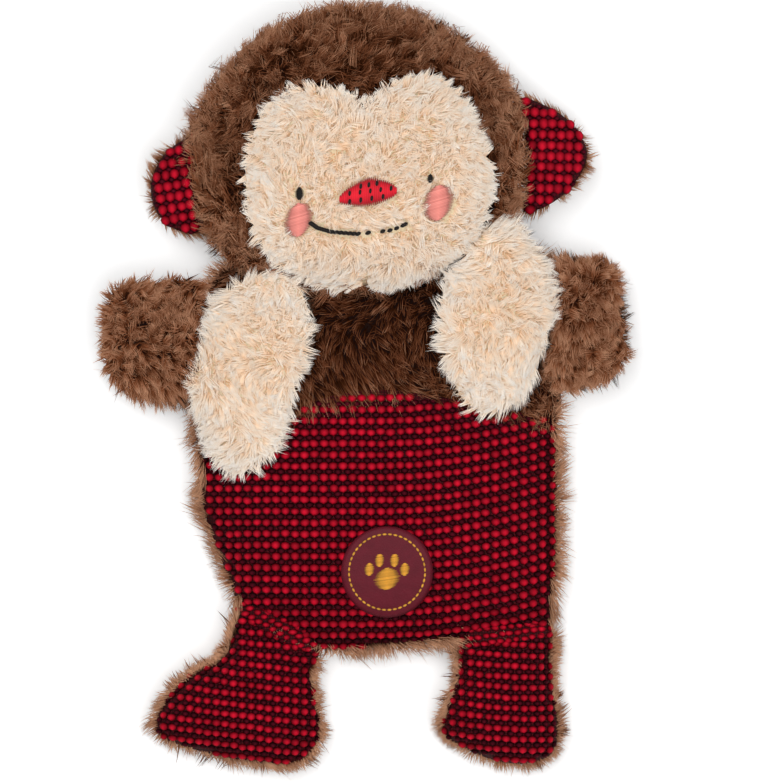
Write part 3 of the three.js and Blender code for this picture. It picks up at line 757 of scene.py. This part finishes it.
def pile(name, body, look, patch, number, seed, long=1.0, wide=1.0, length=None, comb=None,
         weight=None, trim=None, tuft_width=4.2 * MM, flow=0.35, soft=0.6, pale=0.3, **habit):
    """Fur on a patch. long and wide are shares of the fur's or the fleece's own length and
    width. comb gives each root's lean, weight says where it grows, trim gives each lock's
    share of the full length, pale is the mean tint or gives it for each root, and a slow
    drift is added to the comb."""
    kind = "fleece" if look == "cream_pile" else "fur"
    length = length or getattr(sizes(), f"{kind}_length") * long
    width = getattr(sizes(), f"{kind}_width") * wide
    rng = np.random.default_rng(seed)
    roots, normals = patch.scatter(number, rng, weight)
    lay = flow * drift(roots, 22 * MM, seed // 10)
    if comb is not None:
        lay = lay + comb(roots)
    if trim is not None:
        length = length * trim(roots)[:, None]
    if callable(pale):
        pale = pale(roots)[:, None]
    tuft = tufts(roots, tuft_width, rng)
    lines = lock_lines(roots, normals, lay, length, rng, tuft, **habit)
    locks(name, body, look, lines, normals, tuft, width, rng, soft, pale)


def fringed_back(body, neighbours, back_locks, fringe_locks, reach, seed):
    """Fur on the back of a form, and the fringe that its rim shows past the nub cloth,
    except where it meets its neighbours."""
    form = Form(body, grow=-3 * MM)
    shell = form.shell()

    def back(points, normals):
        return (points[..., 2] < FRINGE_LEVEL) & (normals[..., 2] < -0.25)

    def rim(points, normals):
        near = np.abs(points[..., 2] - FRINGE_LEVEL) < 3.5 * MM
        for other in neighbours:
            near = near & (other.out(points) > 1)
        return near * (1 - np.abs(normals[..., 2]))

    def comb(roots):
        return outward(roots, form.middle) * 0.3

    pile(f"{body}_back_pile", body, "brown_pile", shell, back_locks, seed, wide=2.2, comb=comb,
         weight=back, soft=0)
    pile(f"{body}_fringe", body, "golden_pile", shell, fringe_locks, seed + 1, wide=1.2,
         length=reach, comb=comb, weight=rim, soft=0, lift=0.8, tuft_width=2.6 * MM,
         pull=0.3, scatter=0.25, stray=0.3, curl=0.12)


# Nub cloth

def nub_shape(sides=8):
    """One nub, a unit wide: a dome on a flange that meets its neighbours', round above and
    drawn to a blunt point below. level sets the painted shade and highlight: 0 at the
    flange and 1 at the top, and higher on the lower side for a painted highlight there."""
    turn = turns(sides)
    low = np.clip(-np.sin(turn), 0, 1)
    circle = np.stack((np.cos(turn), (1 + 0.2 * low ** 4) * np.sin(turn), 0 * turn), -1)
    points = np.concatenate((
        circle * (0.5, 0.47, 1), circle * (0.49, 0.4, 1) + (0, 0, 0.22),
        circle * (0.27, 0.26, 1) + (0, 0, 0.46), [(0, 0, 0.52)],
    ))
    level = np.concatenate((0 * turn, 0.24 + 0.25 * low, 0.7 + 0.2 * low, [0.95]))
    return points, stack_faces(3, sides), level


def nubs(name, body, look, x, y, surface, size, seed):
    """Nubs at places on a surface, each square to it."""
    rng = np.random.default_rng(seed)
    x, y = x + 0.12 * MM * rng.normal(size=x.size), y + 0.12 * MM * rng.normal(size=x.size)
    probe = 0.5 * MM
    z = surface(x, y)
    right = unit(np.stack((np.full_like(x, probe), 0 * x, surface(x + probe, y) - z), -1))
    ahead = np.stack((0 * x, np.full_like(x, probe), surface(x, y + probe) - z), -1)
    up = unit(np.cross(right, ahead))
    ahead = np.cross(up, right)
    turn = 0.10 * rng.normal(size=(x.size, 1))
    right, ahead = right + turn * ahead, ahead - turn * right
    points, faces, level = nub_shape()
    grown = points * size * (1 + 0.05 * rng.normal(size=(x.size, 1, 3)))
    solids = np.stack((x, y, z), -1)[:, None] + sum(
        grown[..., k:k + 1] * axis[:, None] for k, axis in enumerate((right, ahead, up)))
    tint = np.clip(0.6 + 0.18 * rng.normal(size=(x.size, 1)), 0.05, 0.95)
    copies(name, body, look, solids, faces, bake_places(tint, 0.95 * level, ripple(level.size)))


def nub_cloth(prefix, body, form, surface, warp, node, seed, scale=1.0, tall=0.78):
    """A cloth panel with its rows of red nubs and the dark nubs between the rows. warp
    bends the rows: it gives each place's shift. tall is the red nubs' height as a share of
    the distance between rows."""
    thick_panel(f"{prefix}_cloth", body, "cloth_ground", drape(form, surface), sizes().cloth, node)
    step, row = sizes().nub_pitch * scale, sizes().row_pitch * scale
    reach = form.radii.max()
    for late, kind, look, size in (
        (0, "nubs", "red_nub", (step * max(1.08, 1.12 * tall), row * tall, 2.8 * MM)),
        (1, "dark_nubs", "dark_nub", (step * 0.9, row * 0.56, 2.1 * MM)),
    ):
        u, v = np.meshgrid(np.arange(-reach, reach, step), np.arange(-reach, reach, row))
        u, v = u + late * step / 2, v + late * row / 2
        shift = warp(u, v)
        x, y = form.middle[0] + u + shift[0], form.middle[1] + v + shift[1]
        inside = form.share(x, y) < 0.975
        nubs(f"{prefix}_{kind}", body, look, x[inside], y[inside], surface, size, seed + late)


# Stitches

def stitches(name, body, look, starts, ends, surface, thickness, seed, node=None, rise=0.5,
             steps=5):
    """Threads that arch over a surface: each leaves it at its start, lies a little proud of
    it, and dips in again at its end. Six-sided rings along an arch close at both ends."""
    rng = np.random.default_rng(seed)
    number, sides = len(starts), 6
    t = np.linspace(0, 1, steps)
    arch = np.sin(math.pi * t)
    flat = starts[:, None] * (1 - t[:, None]) + ends[:, None] * t[:, None]
    x, y = flat[..., 0], flat[..., 1]
    line = np.stack((x, y, surface(x, y) + thickness * (rise * arch ** 0.5 - 0.2)), -1)
    heading = unit(np.gradient(line, axis=1))
    beside = unit(np.cross(heading, (0.0, 0.0, 1.0)))
    above = np.cross(beside, heading)
    turn = turns(sides)[None, None, :, None]
    girth = 0.5 * thickness * (0.25 + 0.75 * arch ** 0.3)
    rings = line[:, :, None] + girth[None, :, None, None] * (
        np.cos(turn) * beside[:, :, None] + np.sin(turn) * above[:, :, None])
    tint = np.clip(0.5 + 0.2 * rng.normal(size=(number, 1)), 0.05, 0.95)
    # The bake map's level follows the arch, which puts thread_finish's painted shade at the
    # thread's ends
    bake = bake_places(tint, 0.95 * np.repeat(arch, sides), ripple(steps * sides))
    copies(name, body, look, rings.reshape(number, -1, 3),
           stack_faces(steps, sides, pointed=False)[:, ::-1], bake, [node] if node else ())


def satin(node, body, look, middle, width, tall, surface, thickness, seed, lean):
    """Parallel threads across an oval, each as long as the oval is wide there."""
    pitch = thickness * 0.8
    v = np.arange(-tall / 2 + pitch / 2, tall / 2, pitch)
    half = 0.5 * width * np.sqrt(1 - (2 * v / tall) ** 2)
    half = half * (1 + 0.04 * np.random.default_rng(seed).normal(size=half.size))
    starts = np.stack((middle[0] - half, middle[1] + v - lean * half), -1)
    ends = np.stack((middle[0] + half, middle[1] + v + lean * half), -1)
    stitches(f"{node}_stitches", body, look, starts, ends, surface, thickness, seed, node)


# The toy's pieces

class TOY_OT_body(bpy.types.Operator):
    """Makes the body: a fur back with its fringe, a fur chest and a nub cloth belly"""
    bl_idname = "toy.body"
    bl_label = "Body"

    def execute(self, context):
        closed_shell("body_backing", "body", "brown_backing",
                     Form("body", grow=-sizes().pile_depth).shell(), "body_back", fill=0.5)
        nub_cloth("belly", "body", Form("belly"), Form("body").height,
                  lambda u, v: (0 * u, 2.0 * np.clip(u, 0, None) ** 2), "belly_front", 11)
        surface = Form("body", grow=-1.4 * MM).height
        thick_panel("chest_backing", "body", "brown_backing", drape(Form("chest"), surface),
                    1 * MM, "chest_front")
        inside = Form("chest", grow=-3 * MM)

        def down(roots):
            """Towards the belly, and over the edges at the sides."""
            near = inside.out(roots)[:, None] ** 6
            return (0, -0.6, 0) + 0.6 * near * outward(roots, inside.middle)

        def shade(roots):
            """Painted shadow under the chin that fades towards the belly, and a painted rim light
            at the sides.
            """
            low = np.clip((16 * MM - roots[:, 1]) / (22 * MM), 0, 1)
            return 0.4 * low + 0.3 * inside.out(roots) ** 6 - 0.2

        # pale=shade carries the chest's painted shadow and painted rim light
        pile("chest_pile", "body", "brown_pile", drape(inside, surface), 9300, 21, long=0.8,
             comb=down, scatter=0.25, tuft_width=2.7 * MM, wave=0.14, soft=0.3, pale=shade)
        hips = [Form(f"leg_{side}", grow=3.6 * MM) for side in SIDES]
        fringed_back("body", hips, 6000, 9800, 9 * MM, 22)
        return {"FINISHED"}


class TOY_OT_head(bpy.types.Operator):
    """Makes the fur head: the hood round the face and the back of the head"""
    bl_idname = "toy.head"
    bl_label = "Head"

    def execute(self, context):
        form, face = Form("head", grow=-sizes().pile_depth), Form("face")
        shell = form.shell()
        closed_shell("head_backing", "head", "brown_backing", shell, "head_back", "head_hood",
                     fill=0.7)

        def comb(roots):
            """Over the face's edge beside it, and outwards and round the head further out."""
            away = outward(roots, face.middle)
            lay = np.clip(face.out(roots) * 4 - 4, 0, 1)[:, None]
            around = np.stack((away[:, 1], -away[:, 0], away[:, 2]), -1)
            return (0.55 * lay - 0.2) * away + 0.25 * lay * around

        for side, sign, seed in (("left", -1, 131), ("right", 1, 132)):
            def hood(points, normals):
                here = (points[..., 0] - form.middle[0]) * sign > 0
                shown = (face.out(points) > 0.97) | (normals[..., 2] < 0.6)
                return here & (points[..., 2] > HEAD_BACK_TOP) & shown

            pile(f"hood_pile_{side}", "head", "brown_pile", shell, 11900, seed, wide=1.1,
                 comb=comb, weight=hood, flow=0.42, steps=4, curl=0.05, wave=0.2, scatter=0.38,
                 tuft_width=2.7 * MM, soft=0.7, pale=form.tint_with_painted_rim_light(0.1, 0.85, 8))
        pile("head_back_pile", "head", "brown_pile", shell, 6500, 33, wide=2.2, comb=comb,
             weight=lambda points, normals: points[..., 2] < HEAD_BACK_TOP, soft=0)
        return {"FINISHED"}


def face_height(x, y):
    """The face bulges from the hood at its rim to its top: hood + (top - hood) * swell."""
    face = Form("face")
    turn = np.arctan2(y - face.middle[1], x - face.middle[0])
    rim = Form("head").height(*face.spot(turn, 0.99))
    return rim + (FACE_TOP - rim) * swell(face.share(x, y))


def clearance(points):
    """The distance from the nearest stitched feature's edge, less than 0 inside it."""
    x, y = points[..., 0], points[..., 1]
    gaps = []
    for middle, wide, tall in CLEARINGS:
        spot = from_photo(middle)
        far = np.hypot((x - spot[0]) / wide, (y - spot[1]) / tall) * 2 / PIXEL
        gaps.append((far - 1) * min(wide, tall) * PIXEL / 2)
    for pixels in (MOUTH_LINE, CHIN_CREASE):
        line = from_photo(pixels)
        for start, along in zip(line[:-1], np.diff(line, axis=0)):
            t = ((x - start[0]) * along[0] + (y - start[1]) * along[1]) / (along @ along)
            spot = start[:, None] + along[:, None] * np.clip(t.ravel(), 0, 1)
            far = np.hypot(x.ravel() - spot[0], y.ravel() - spot[1]).reshape(x.shape)
            gaps.append(far - 0.7 * MM)
    return np.min(gaps, 0)


class TOY_OT_face(bpy.types.Operator):
    """Makes the fleece face with its stitched eyes, cheeks, nose and mouth"""
    bl_idname = "toy.face"
    bl_label = "Face"

    def execute(self, context):
        face = Form("face", grow=-3.5 * MM)
        patch = drape(face, lambda x, y: face_height(x, y) - 3.2 * MM)
        thick_panel("face_backing", "head", "cream_backing", patch, 2 * MM, "face_panel", fill=0.7)

        def comb(roots):
            """Away from the nose, and away from the nearest stitched feature."""
            gap, probe = clearance(roots), 0.2 * MM
            slope = np.stack((clearance(roots + (probe, 0, 0)) - gap,
                              clearance(roots + (0, probe, 0)) - gap, 0 * gap), -1) / probe
            near = np.exp(-np.clip(gap, 0, None) / (3 * MM))[:, None]
            return (outward(roots, from_photo(FACE_WHORL)) * 0.3 * (1 - near)
                    + 0.8 * near * slope)

        def trim(roots):
            """Short beside the stitches and at the rim."""
            short = np.clip(0.45 + clearance(roots) / (7 * MM), 0.45, 1)
            return short - 0.35 * face.out(roots) ** 8

        for side, sign, seed in (("left", -1, 41), ("right", 1, 42)):
            def weight(points, normals):
                here = (points[..., 0] - face.middle[0]) * sign > 0
                return here * (clearance(points) > -0.2 * MM) * (1 + face.out(points) ** 8)

            pile(f"face_pile_{side}", "head", "cream_pile", patch, 12600, seed, comb=comb,
                 trim=trim, weight=weight, tuft_width=2.4 * MM, pull=0.55, scatter=0.4,
                 stray=0.12, flow=0.3, wave=0.13, soft=0.8, pale=face.tint_with_painted_rim_light(0.22, 0.6, 4))

        def on_face(x, y):
            return face_height(x, y) - 0.5 * MM

        for node, look, spot, wide, tall, thread, lean, seed in SATINS:
            satin(node, "head", look, from_photo(spot), wide * MM, tall * MM, on_face,
                  thread * MM, seed, lean)
        self.nose(on_face)
        self.mouth(on_face)
        return {"FINISHED"}

    def nose(self, surface):
        """Threads that run up and down inside the nose's outline, in a crowned pad, and
        short upright black stitches in rows over them."""
        nose = Form("nose")
        pitch = 0.85 * MM
        x = np.arange(-nose.width / 2 + pitch, nose.width / 2 - pitch / 2, pitch)
        grid_x, grid_y = np.meshgrid(x, np.linspace(-10, 10, 400) * MM)
        inside = np.hypot(grid_x, grid_y) < nose.radius(np.arctan2(grid_y, grid_x))
        low = np.where(inside, grid_y, 1).min(0)
        high = np.where(inside, grid_y, -1).max(0)
        starts, ends = [np.stack((x, end), -1) + nose.middle for end in (low, high)]
        stitches("nose_stitches", "head", "nose_thread", starts, ends,
                 lambda x, y: surface(x, y) + 0.6 * MM, 1.15 * MM, 53, "nose", rise=1.3, steps=9)
        spots = np.concatenate([
            np.linspace(*from_photo([left, right]), number) for left, right, number in NOSE_DASHES])
        tall = np.array([0.15, 1.25]) * MM
        stitches("nose_dashes", "head", "black_thread", spots - tall, spots + tall,
                 lambda x, y: surface(x, y) + 1.9 * MM, 1.25 * MM, 55)

    def mouth(self, surface):
        """Short slanting stitches that overlap along a sagging line, and then single
        stitches with gaps, where the fleece covers the rest."""
        line = from_photo(MOUTH_LINE)
        corner = np.arange(len(line)) / (len(line) - 1)

        def spot(t):
            return np.stack([np.interp(t, corner, line[:, k]) for k in range(2)], -1)

        t = np.concatenate((np.linspace(0, 0.5, 18), MOUTH_DASHES))
        lean = np.array([0.7, 0.35]) * MM * (1, 1.3)
        stitches("mouth_stitches", "head", "black_thread", spot(t) - lean, spot(t + 0.02) + lean,
                 surface, 1.7 * MM, 54, "mouth")


class TOY_OT_ears(bpy.types.Operator):
    """Makes the ears: nub cloth in front and fur behind"""
    bl_idname = "toy.ears"
    bl_label = "Ears"

    def execute(self, context):
        for side, turn, seed in (("left", 0.2, 61), ("right", -0.04, 62)):
            body = f"ear_{side}"
            leaf = Form(body)
            nub_cloth(body, body, leaf, leaf.height, lambda u, v: (-turn * v, turn * u),
                      f"ear_front_{side}", seed, scale=0.95, tall=1.1)
            shell = Form(body, (19.6, 2.6, 2.6), grow=-0.4 * MM).shell(80, 10)
            closed_shell(f"{body}_backing", body, "brown_backing", shell, f"ear_back_{side}")
            pile(f"{body}_pile", body, "golden_pile", shell, 2600, seed + 5, length=5 * MM,
                 comb=lambda roots: outward(roots, leaf.middle) * 0.9, soft=0,
                 weight=lambda points, normals:
                 (points[..., 2] < 19.2 * MM) * (1 + 2 * leaf.out(points) ** 8),
                 pale=leaf.tint_with_painted_rim_light(0.1, 0.6, 6), tuft_width=2.4 * MM, pull=0.3, scatter=0.2,
                 stray=0.1)
        return {"FINISHED"}


class TOY_OT_arms(bpy.types.Operator):
    """Makes the fur sleeves: the upper arm on the floor and the forearm folded over it"""
    bl_idname = "toy.arms"
    bl_label = "Arms"

    def execute(self, context):
        # Only the forearm's top is seen, so most of its locks grow there
        for side, sign, first in (("left", -1, 72), ("right", 1, 76)):
            for part, seam, top, number, wide, seed in (
                    ("upper_arm", 6.75, math.inf, 2400, 2.2, first + 5),
                    ("forearm", 20.5, 20.5 * MM, 10200, 1, first)):
                body = f"{part}_{side}"
                form = Form(f"arm_{side}", (seam, 8, 6.7), grow=-3.5 * MM)
                shell = form.shell(110, 14)
                closed_shell(f"{body}_backing", body, "brown_backing", shell, body, fill=0.4)

                def comb(roots):
                    near = form.out(roots)[:, None] ** 2
                    return (-0.1 * sign, -0.3, 0) + 0.3 * near * outward(roots, form.middle)

                pile(f"{body}_pile", body, "brown_pile", shell, number, seed, long=0.72,
                     wide=wide, comb=comb, flow=0.4, scatter=0.4, wave=0.15, curl=0.06,
                     weight=lambda points, normals: np.where(points[..., 2] > top, 1, 0.4),
                     lift=0.45, tuft_width=2.4 * MM, soft=0.9,
                     pale=form.tint_with_painted_rim_light(0.5, 0.7, 5))
        return {"FINISHED"}


class TOY_OT_paws(bpy.types.Operator):
    """Makes the fleece paws that lie on the chest"""
    bl_idname = "toy.paws"
    bl_label = "Paws"

    def execute(self, context):
        inner_end = 37
        for side, sign, wrist, seed in (("left", -1, 22, 81), ("right", 1, 23, 82)):
            body = f"forearm_{side}"
            form = Form(f"paw_{side}", ((wrist + inner_end) / 2, 11, 7), grow=-4.5 * MM,
                        rise=sign * (wrist - inner_end) * MM)
            shell = form.shell(130, 18)
            closed_shell(f"paw_{side}_backing", body, "cream_backing", shell, f"paw_{side}",
                         fill=0.6)

            def shade(roots):
                """Paler at the rim, a painted rim light, and towards the paw's lower end."""
                low = np.clip((form.middle[1] - roots[:, 1]) / (40 * MM), 0, 1)
                return 0.06 + 0.95 * form.out(roots) ** 3 + 0.3 * low

            pile(f"paw_{side}_pile", body, "cream_pile", shell, 14000, seed, long=1.25,
                 comb=lambda roots: outward(roots, form.middle) * 0.3,
                 trim=lambda roots: 0.62 + 0.24 * form.out(roots) ** 2, pale=shade,
                 weight=lambda points, normals: np.where(normals[..., 2] > -0.2, 1, 0.25),
                 flow=0.5, tuft_width=2.3 * MM, wave=0.2, scatter=0.42, stray=0.12, soft=0.8)
        return {"FINISHED"}


class TOY_OT_legs(bpy.types.Operator):
    """Makes the legs: nub cloth in front and a fringed fur back"""
    bl_idname = "toy.legs"
    bl_label = "Legs"

    def execute(self, context):
        for side, slant, bow, seed in (("left", -0.12, 0, 91), ("right", -0.07, 2, 95)):
            body = f"leg_{side}"
            form = Form(body)
            nub_cloth(body, body, form, form.height,
                      lambda u, v: (0 * u, slant * u + bow * u ** 2), f"leg_front_{side}", seed,
                      scale=0.92)
            closed_shell(f"{body}_backing", body, "brown_backing",
                         Form(body, grow=-0.9 * MM).shell(110, 16), f"leg_back_{side}", fill=0.5)
            fringed_back(body, [Form("body", grow=4 * MM)], 2200, 5500, 6.8 * MM, seed + 3)
        return {"FINISHED"}


class TOY_OT_hips(bpy.types.Operator):
    """Makes the gathered cloth roll in each hip's crease, round the hinge line"""
    bl_idname = "toy.hips"
    bl_label = "Hips"

    def execute(self, context):
        for side, seed in (("left", 111), ("right", 112)):
            body = f"leg_{side}"
            start, stop = from_photo(HIP_LINES[side])
            span = np.hypot(*(stop - start))
            ahead = (stop - start) / span
            beside = np.array([-ahead[1], ahead[0]])

            def radius(t):
                """Full in the middle and closed at both ends, with shallow gathers."""
                return sizes().hip_roll * (1 - np.abs(2 * t - 1) ** 4) ** 0.5 * (
                    1 + 0.05 * np.sin(70 * t))

            turn = turns(28)[:, None]
            t = 0.5 - 0.5 * np.cos(np.linspace(0, math.pi, 60))[None, :]
            out = radius(t) * np.cos(turn)
            x, y = [start[k] + (stop - start)[k] * t + beside[k] * out for k in range(2)]
            z = HIP_LEVEL + radius(t) * np.sin(turn)
            roll = Patch(np.stack((x, y, z), -1)[::-1])
            closed_shell(f"hip_{side}_roll", body, "cloth_ground", roll)

            def under(points, normals):
                """The lower side, away from the crease's ends."""
                near = ((points[..., :2] - start) @ ahead) / span
                return (points[..., 2] < HIP_LEVEL - MM) & (np.abs(near - 0.5) < 0.38)

            pile(f"hip_{side}_pile", body, "brown_pile", roll, 2000, seed, long=0.85, wide=2.2,
                 soft=0, scatter=0.7, lift=0.35, weight=under)

            def top(x, y):
                near = (x - start[0]) * ahead[0] + (y - start[1]) * ahead[1]
                off = (x - start[0]) * beside[0] + (y - start[1]) * beside[1]
                bulge = radius(np.clip(near / span, 0, 1)) ** 2 - off ** 2
                return HIP_LEVEL + np.sqrt(np.clip(bulge, 0, None))

            u, v = np.meshgrid(np.arange(1.5 * MM, span - MM, 3.4 * MM),
                               np.array([-4.2, -1.4, 1.4, 4.2]) * MM)
            u = u + v * 0.3
            on = np.abs(v) < 0.7 * radius(np.clip(u / span, 0, 1))
            spots = start + ahead * u[on][:, None] + beside * v[on][:, None]
            nubs(f"hip_{side}_nubs", body, "red_nub", *spots.T, top,
                 np.array([3.8, 2.6, 2.2]) * MM, seed)
        return {"FINISHED"}


def node_box(node):
    """The middle and the size of a solid, seen from above."""
    low, high = [np.array(corner)[:2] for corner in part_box(node)]
    return (low + high) / 2, high - low


class TOY_OT_badge(bpy.types.Operator):
    """Makes the badge with its stitched ring and paw print"""
    bl_idname = "toy.badge"
    bl_label = "Badge"

    def execute(self, context):
        middle, _ = node_box("badge")

        def top(x, y):
            return Form("body").height(x, y) + 2.2 * MM

        turn = turns(96)[:, None]
        share = np.linspace(1, 0, 14)[None, :]
        x = middle[0] + sizes().badge_radius * share * np.cos(turn)
        y = middle[1] + sizes().badge_radius * share * np.sin(turn)
        edge = 0.5 * MM * np.clip((share - 0.93) / 0.07, 0, 1) ** 2
        patch = Patch(np.stack((x, y, top(x, y) - edge), -1))
        thick_panel("badge_patch", "body", "badge_leather", patch, 1.3 * MM, "badge")
        turn = np.linspace(0, 2 * math.pi, 45)
        starts, ends = [
            middle + sizes().ring_radius * np.stack((np.cos(at), np.sin(at)), -1)
            for at in (turn[:-1], turn[1:] - 0.015)]
        stitches("badge_ring_stitches", "body", "yellow_thread", starts, ends, top, 0.9 * MM, 101,
                 "badge_stitch")
        for node in ["badge_print_pad"] + [f"badge_print_toe_{i}" for i in range(1, 5)]:
            spot, size = node_box(node)
            satin(node, "body", "yellow_thread", spot, *size, top, 0.6 * MM, 102, 0.15)
        return {"FINISHED"}


class TOY_OT_stuffing(bpy.types.Operator):
    """Gives the stuffing and the squeaker inside the toy their materials"""
    bl_idname = "toy.stuffing"
    bl_label = "Stuffing"

    def execute(self, context):
        for node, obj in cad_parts.items():
            if "fill" in node or "squeaker" in node:
                for slot in obj.material_slots:
                    slot.material = material_of(
                        "stuffing_fibre" if "fill" in node else "squeaker_plastic")
        return {"FINISHED"}


class TOY_OT_stage(bpy.types.Operator):
    """Makes the white floor, the soft lights and the camera that looks straight down"""
    bl_idname = "toy.stage"
    bl_label = "Stage"

    def execute(self, context):
        scene = context.scene
        scene.view_settings.view_transform = "Standard"
        corners = [(x, y, 0) for x, y in ((-6, -6), (6, -6), (6, 6), (-6, 6))]
        make_object("floor", "paper", corners, [(0, 1, 2, 3)], smooth=False)
        scene.world = bpy.data.worlds.new("studio")
        scene.world.use_nodes = True
        sky = scene.world.node_tree.nodes["Background"]
        sky.inputs["Color"].default_value = (1, 1, 1, 1)
        sky.inputs["Strength"].default_value = SKY_LIGHT
        for name, (spot, power, wide) in LAMPS.items():
            lamp = bpy.data.lights.new(name, "AREA")
            lamp.energy, lamp.size = power, wide
            obj = bpy.data.objects.new(name, lamp)
            obj.location = spot
            obj.rotation_euler = (-Vector(spot)).to_track_quat("-Z", "Y").to_euler()
            scene.collection.objects.link(obj)
        camera = bpy.data.cameras.new("camera")
        camera.sensor_width = 36
        distance = sizes().camera_height - sizes().focus_height
        camera.lens = camera.sensor_width * distance / (max(PHOTO_SIZE) * PIXEL)
        camera.clip_end = 20
        obj = bpy.data.objects.new("camera", camera)
        obj.location = (*from_photo(np.array(PHOTO_SIZE) / 2), sizes().camera_height)
        scene.collection.objects.link(obj)
        scene.camera = obj
        return {"FINISHED"}


STEPS = (
    TOY_OT_body, TOY_OT_head, TOY_OT_face, TOY_OT_ears, TOY_OT_arms, TOY_OT_paws, TOY_OT_legs,
    TOY_OT_hips, TOY_OT_badge, TOY_OT_stuffing, TOY_OT_stage,
)


class TOY_PT_panel(bpy.types.Panel):
    """Lists the toy's pieces in the sidebar"""
    bl_idname = "TOY_PT_panel"
    bl_label = "Plush Toy"
    bl_space_type = "VIEW_3D"
    bl_region_type = "UI"
    bl_category = "Plush Toy"

    def draw(self, context):
        for step in STEPS:
            self.layout.operator(step.bl_idname)


CLASSES = (PlushSizes, PlushColours, *STEPS, TOY_PT_panel)


def register():
    for cls in CLASSES:
        bpy.utils.register_class(cls)
    bpy.types.Scene.plush_sizes = bpy.props.PointerProperty(type=PlushSizes)
    bpy.types.Scene.plush_colours = bpy.props.PointerProperty(type=PlushColours)


def unregister():
    del bpy.types.Scene.plush_colours, bpy.types.Scene.plush_sizes
    for cls in reversed(CLASSES):
        bpy.utils.unregister_class(cls)


def main():
    register()
    for step in STEPS:
        group, name = step.bl_idname.split(".")
        getattr(getattr(bpy.ops, group), name)()


if __name__ == "__main__":
    main()
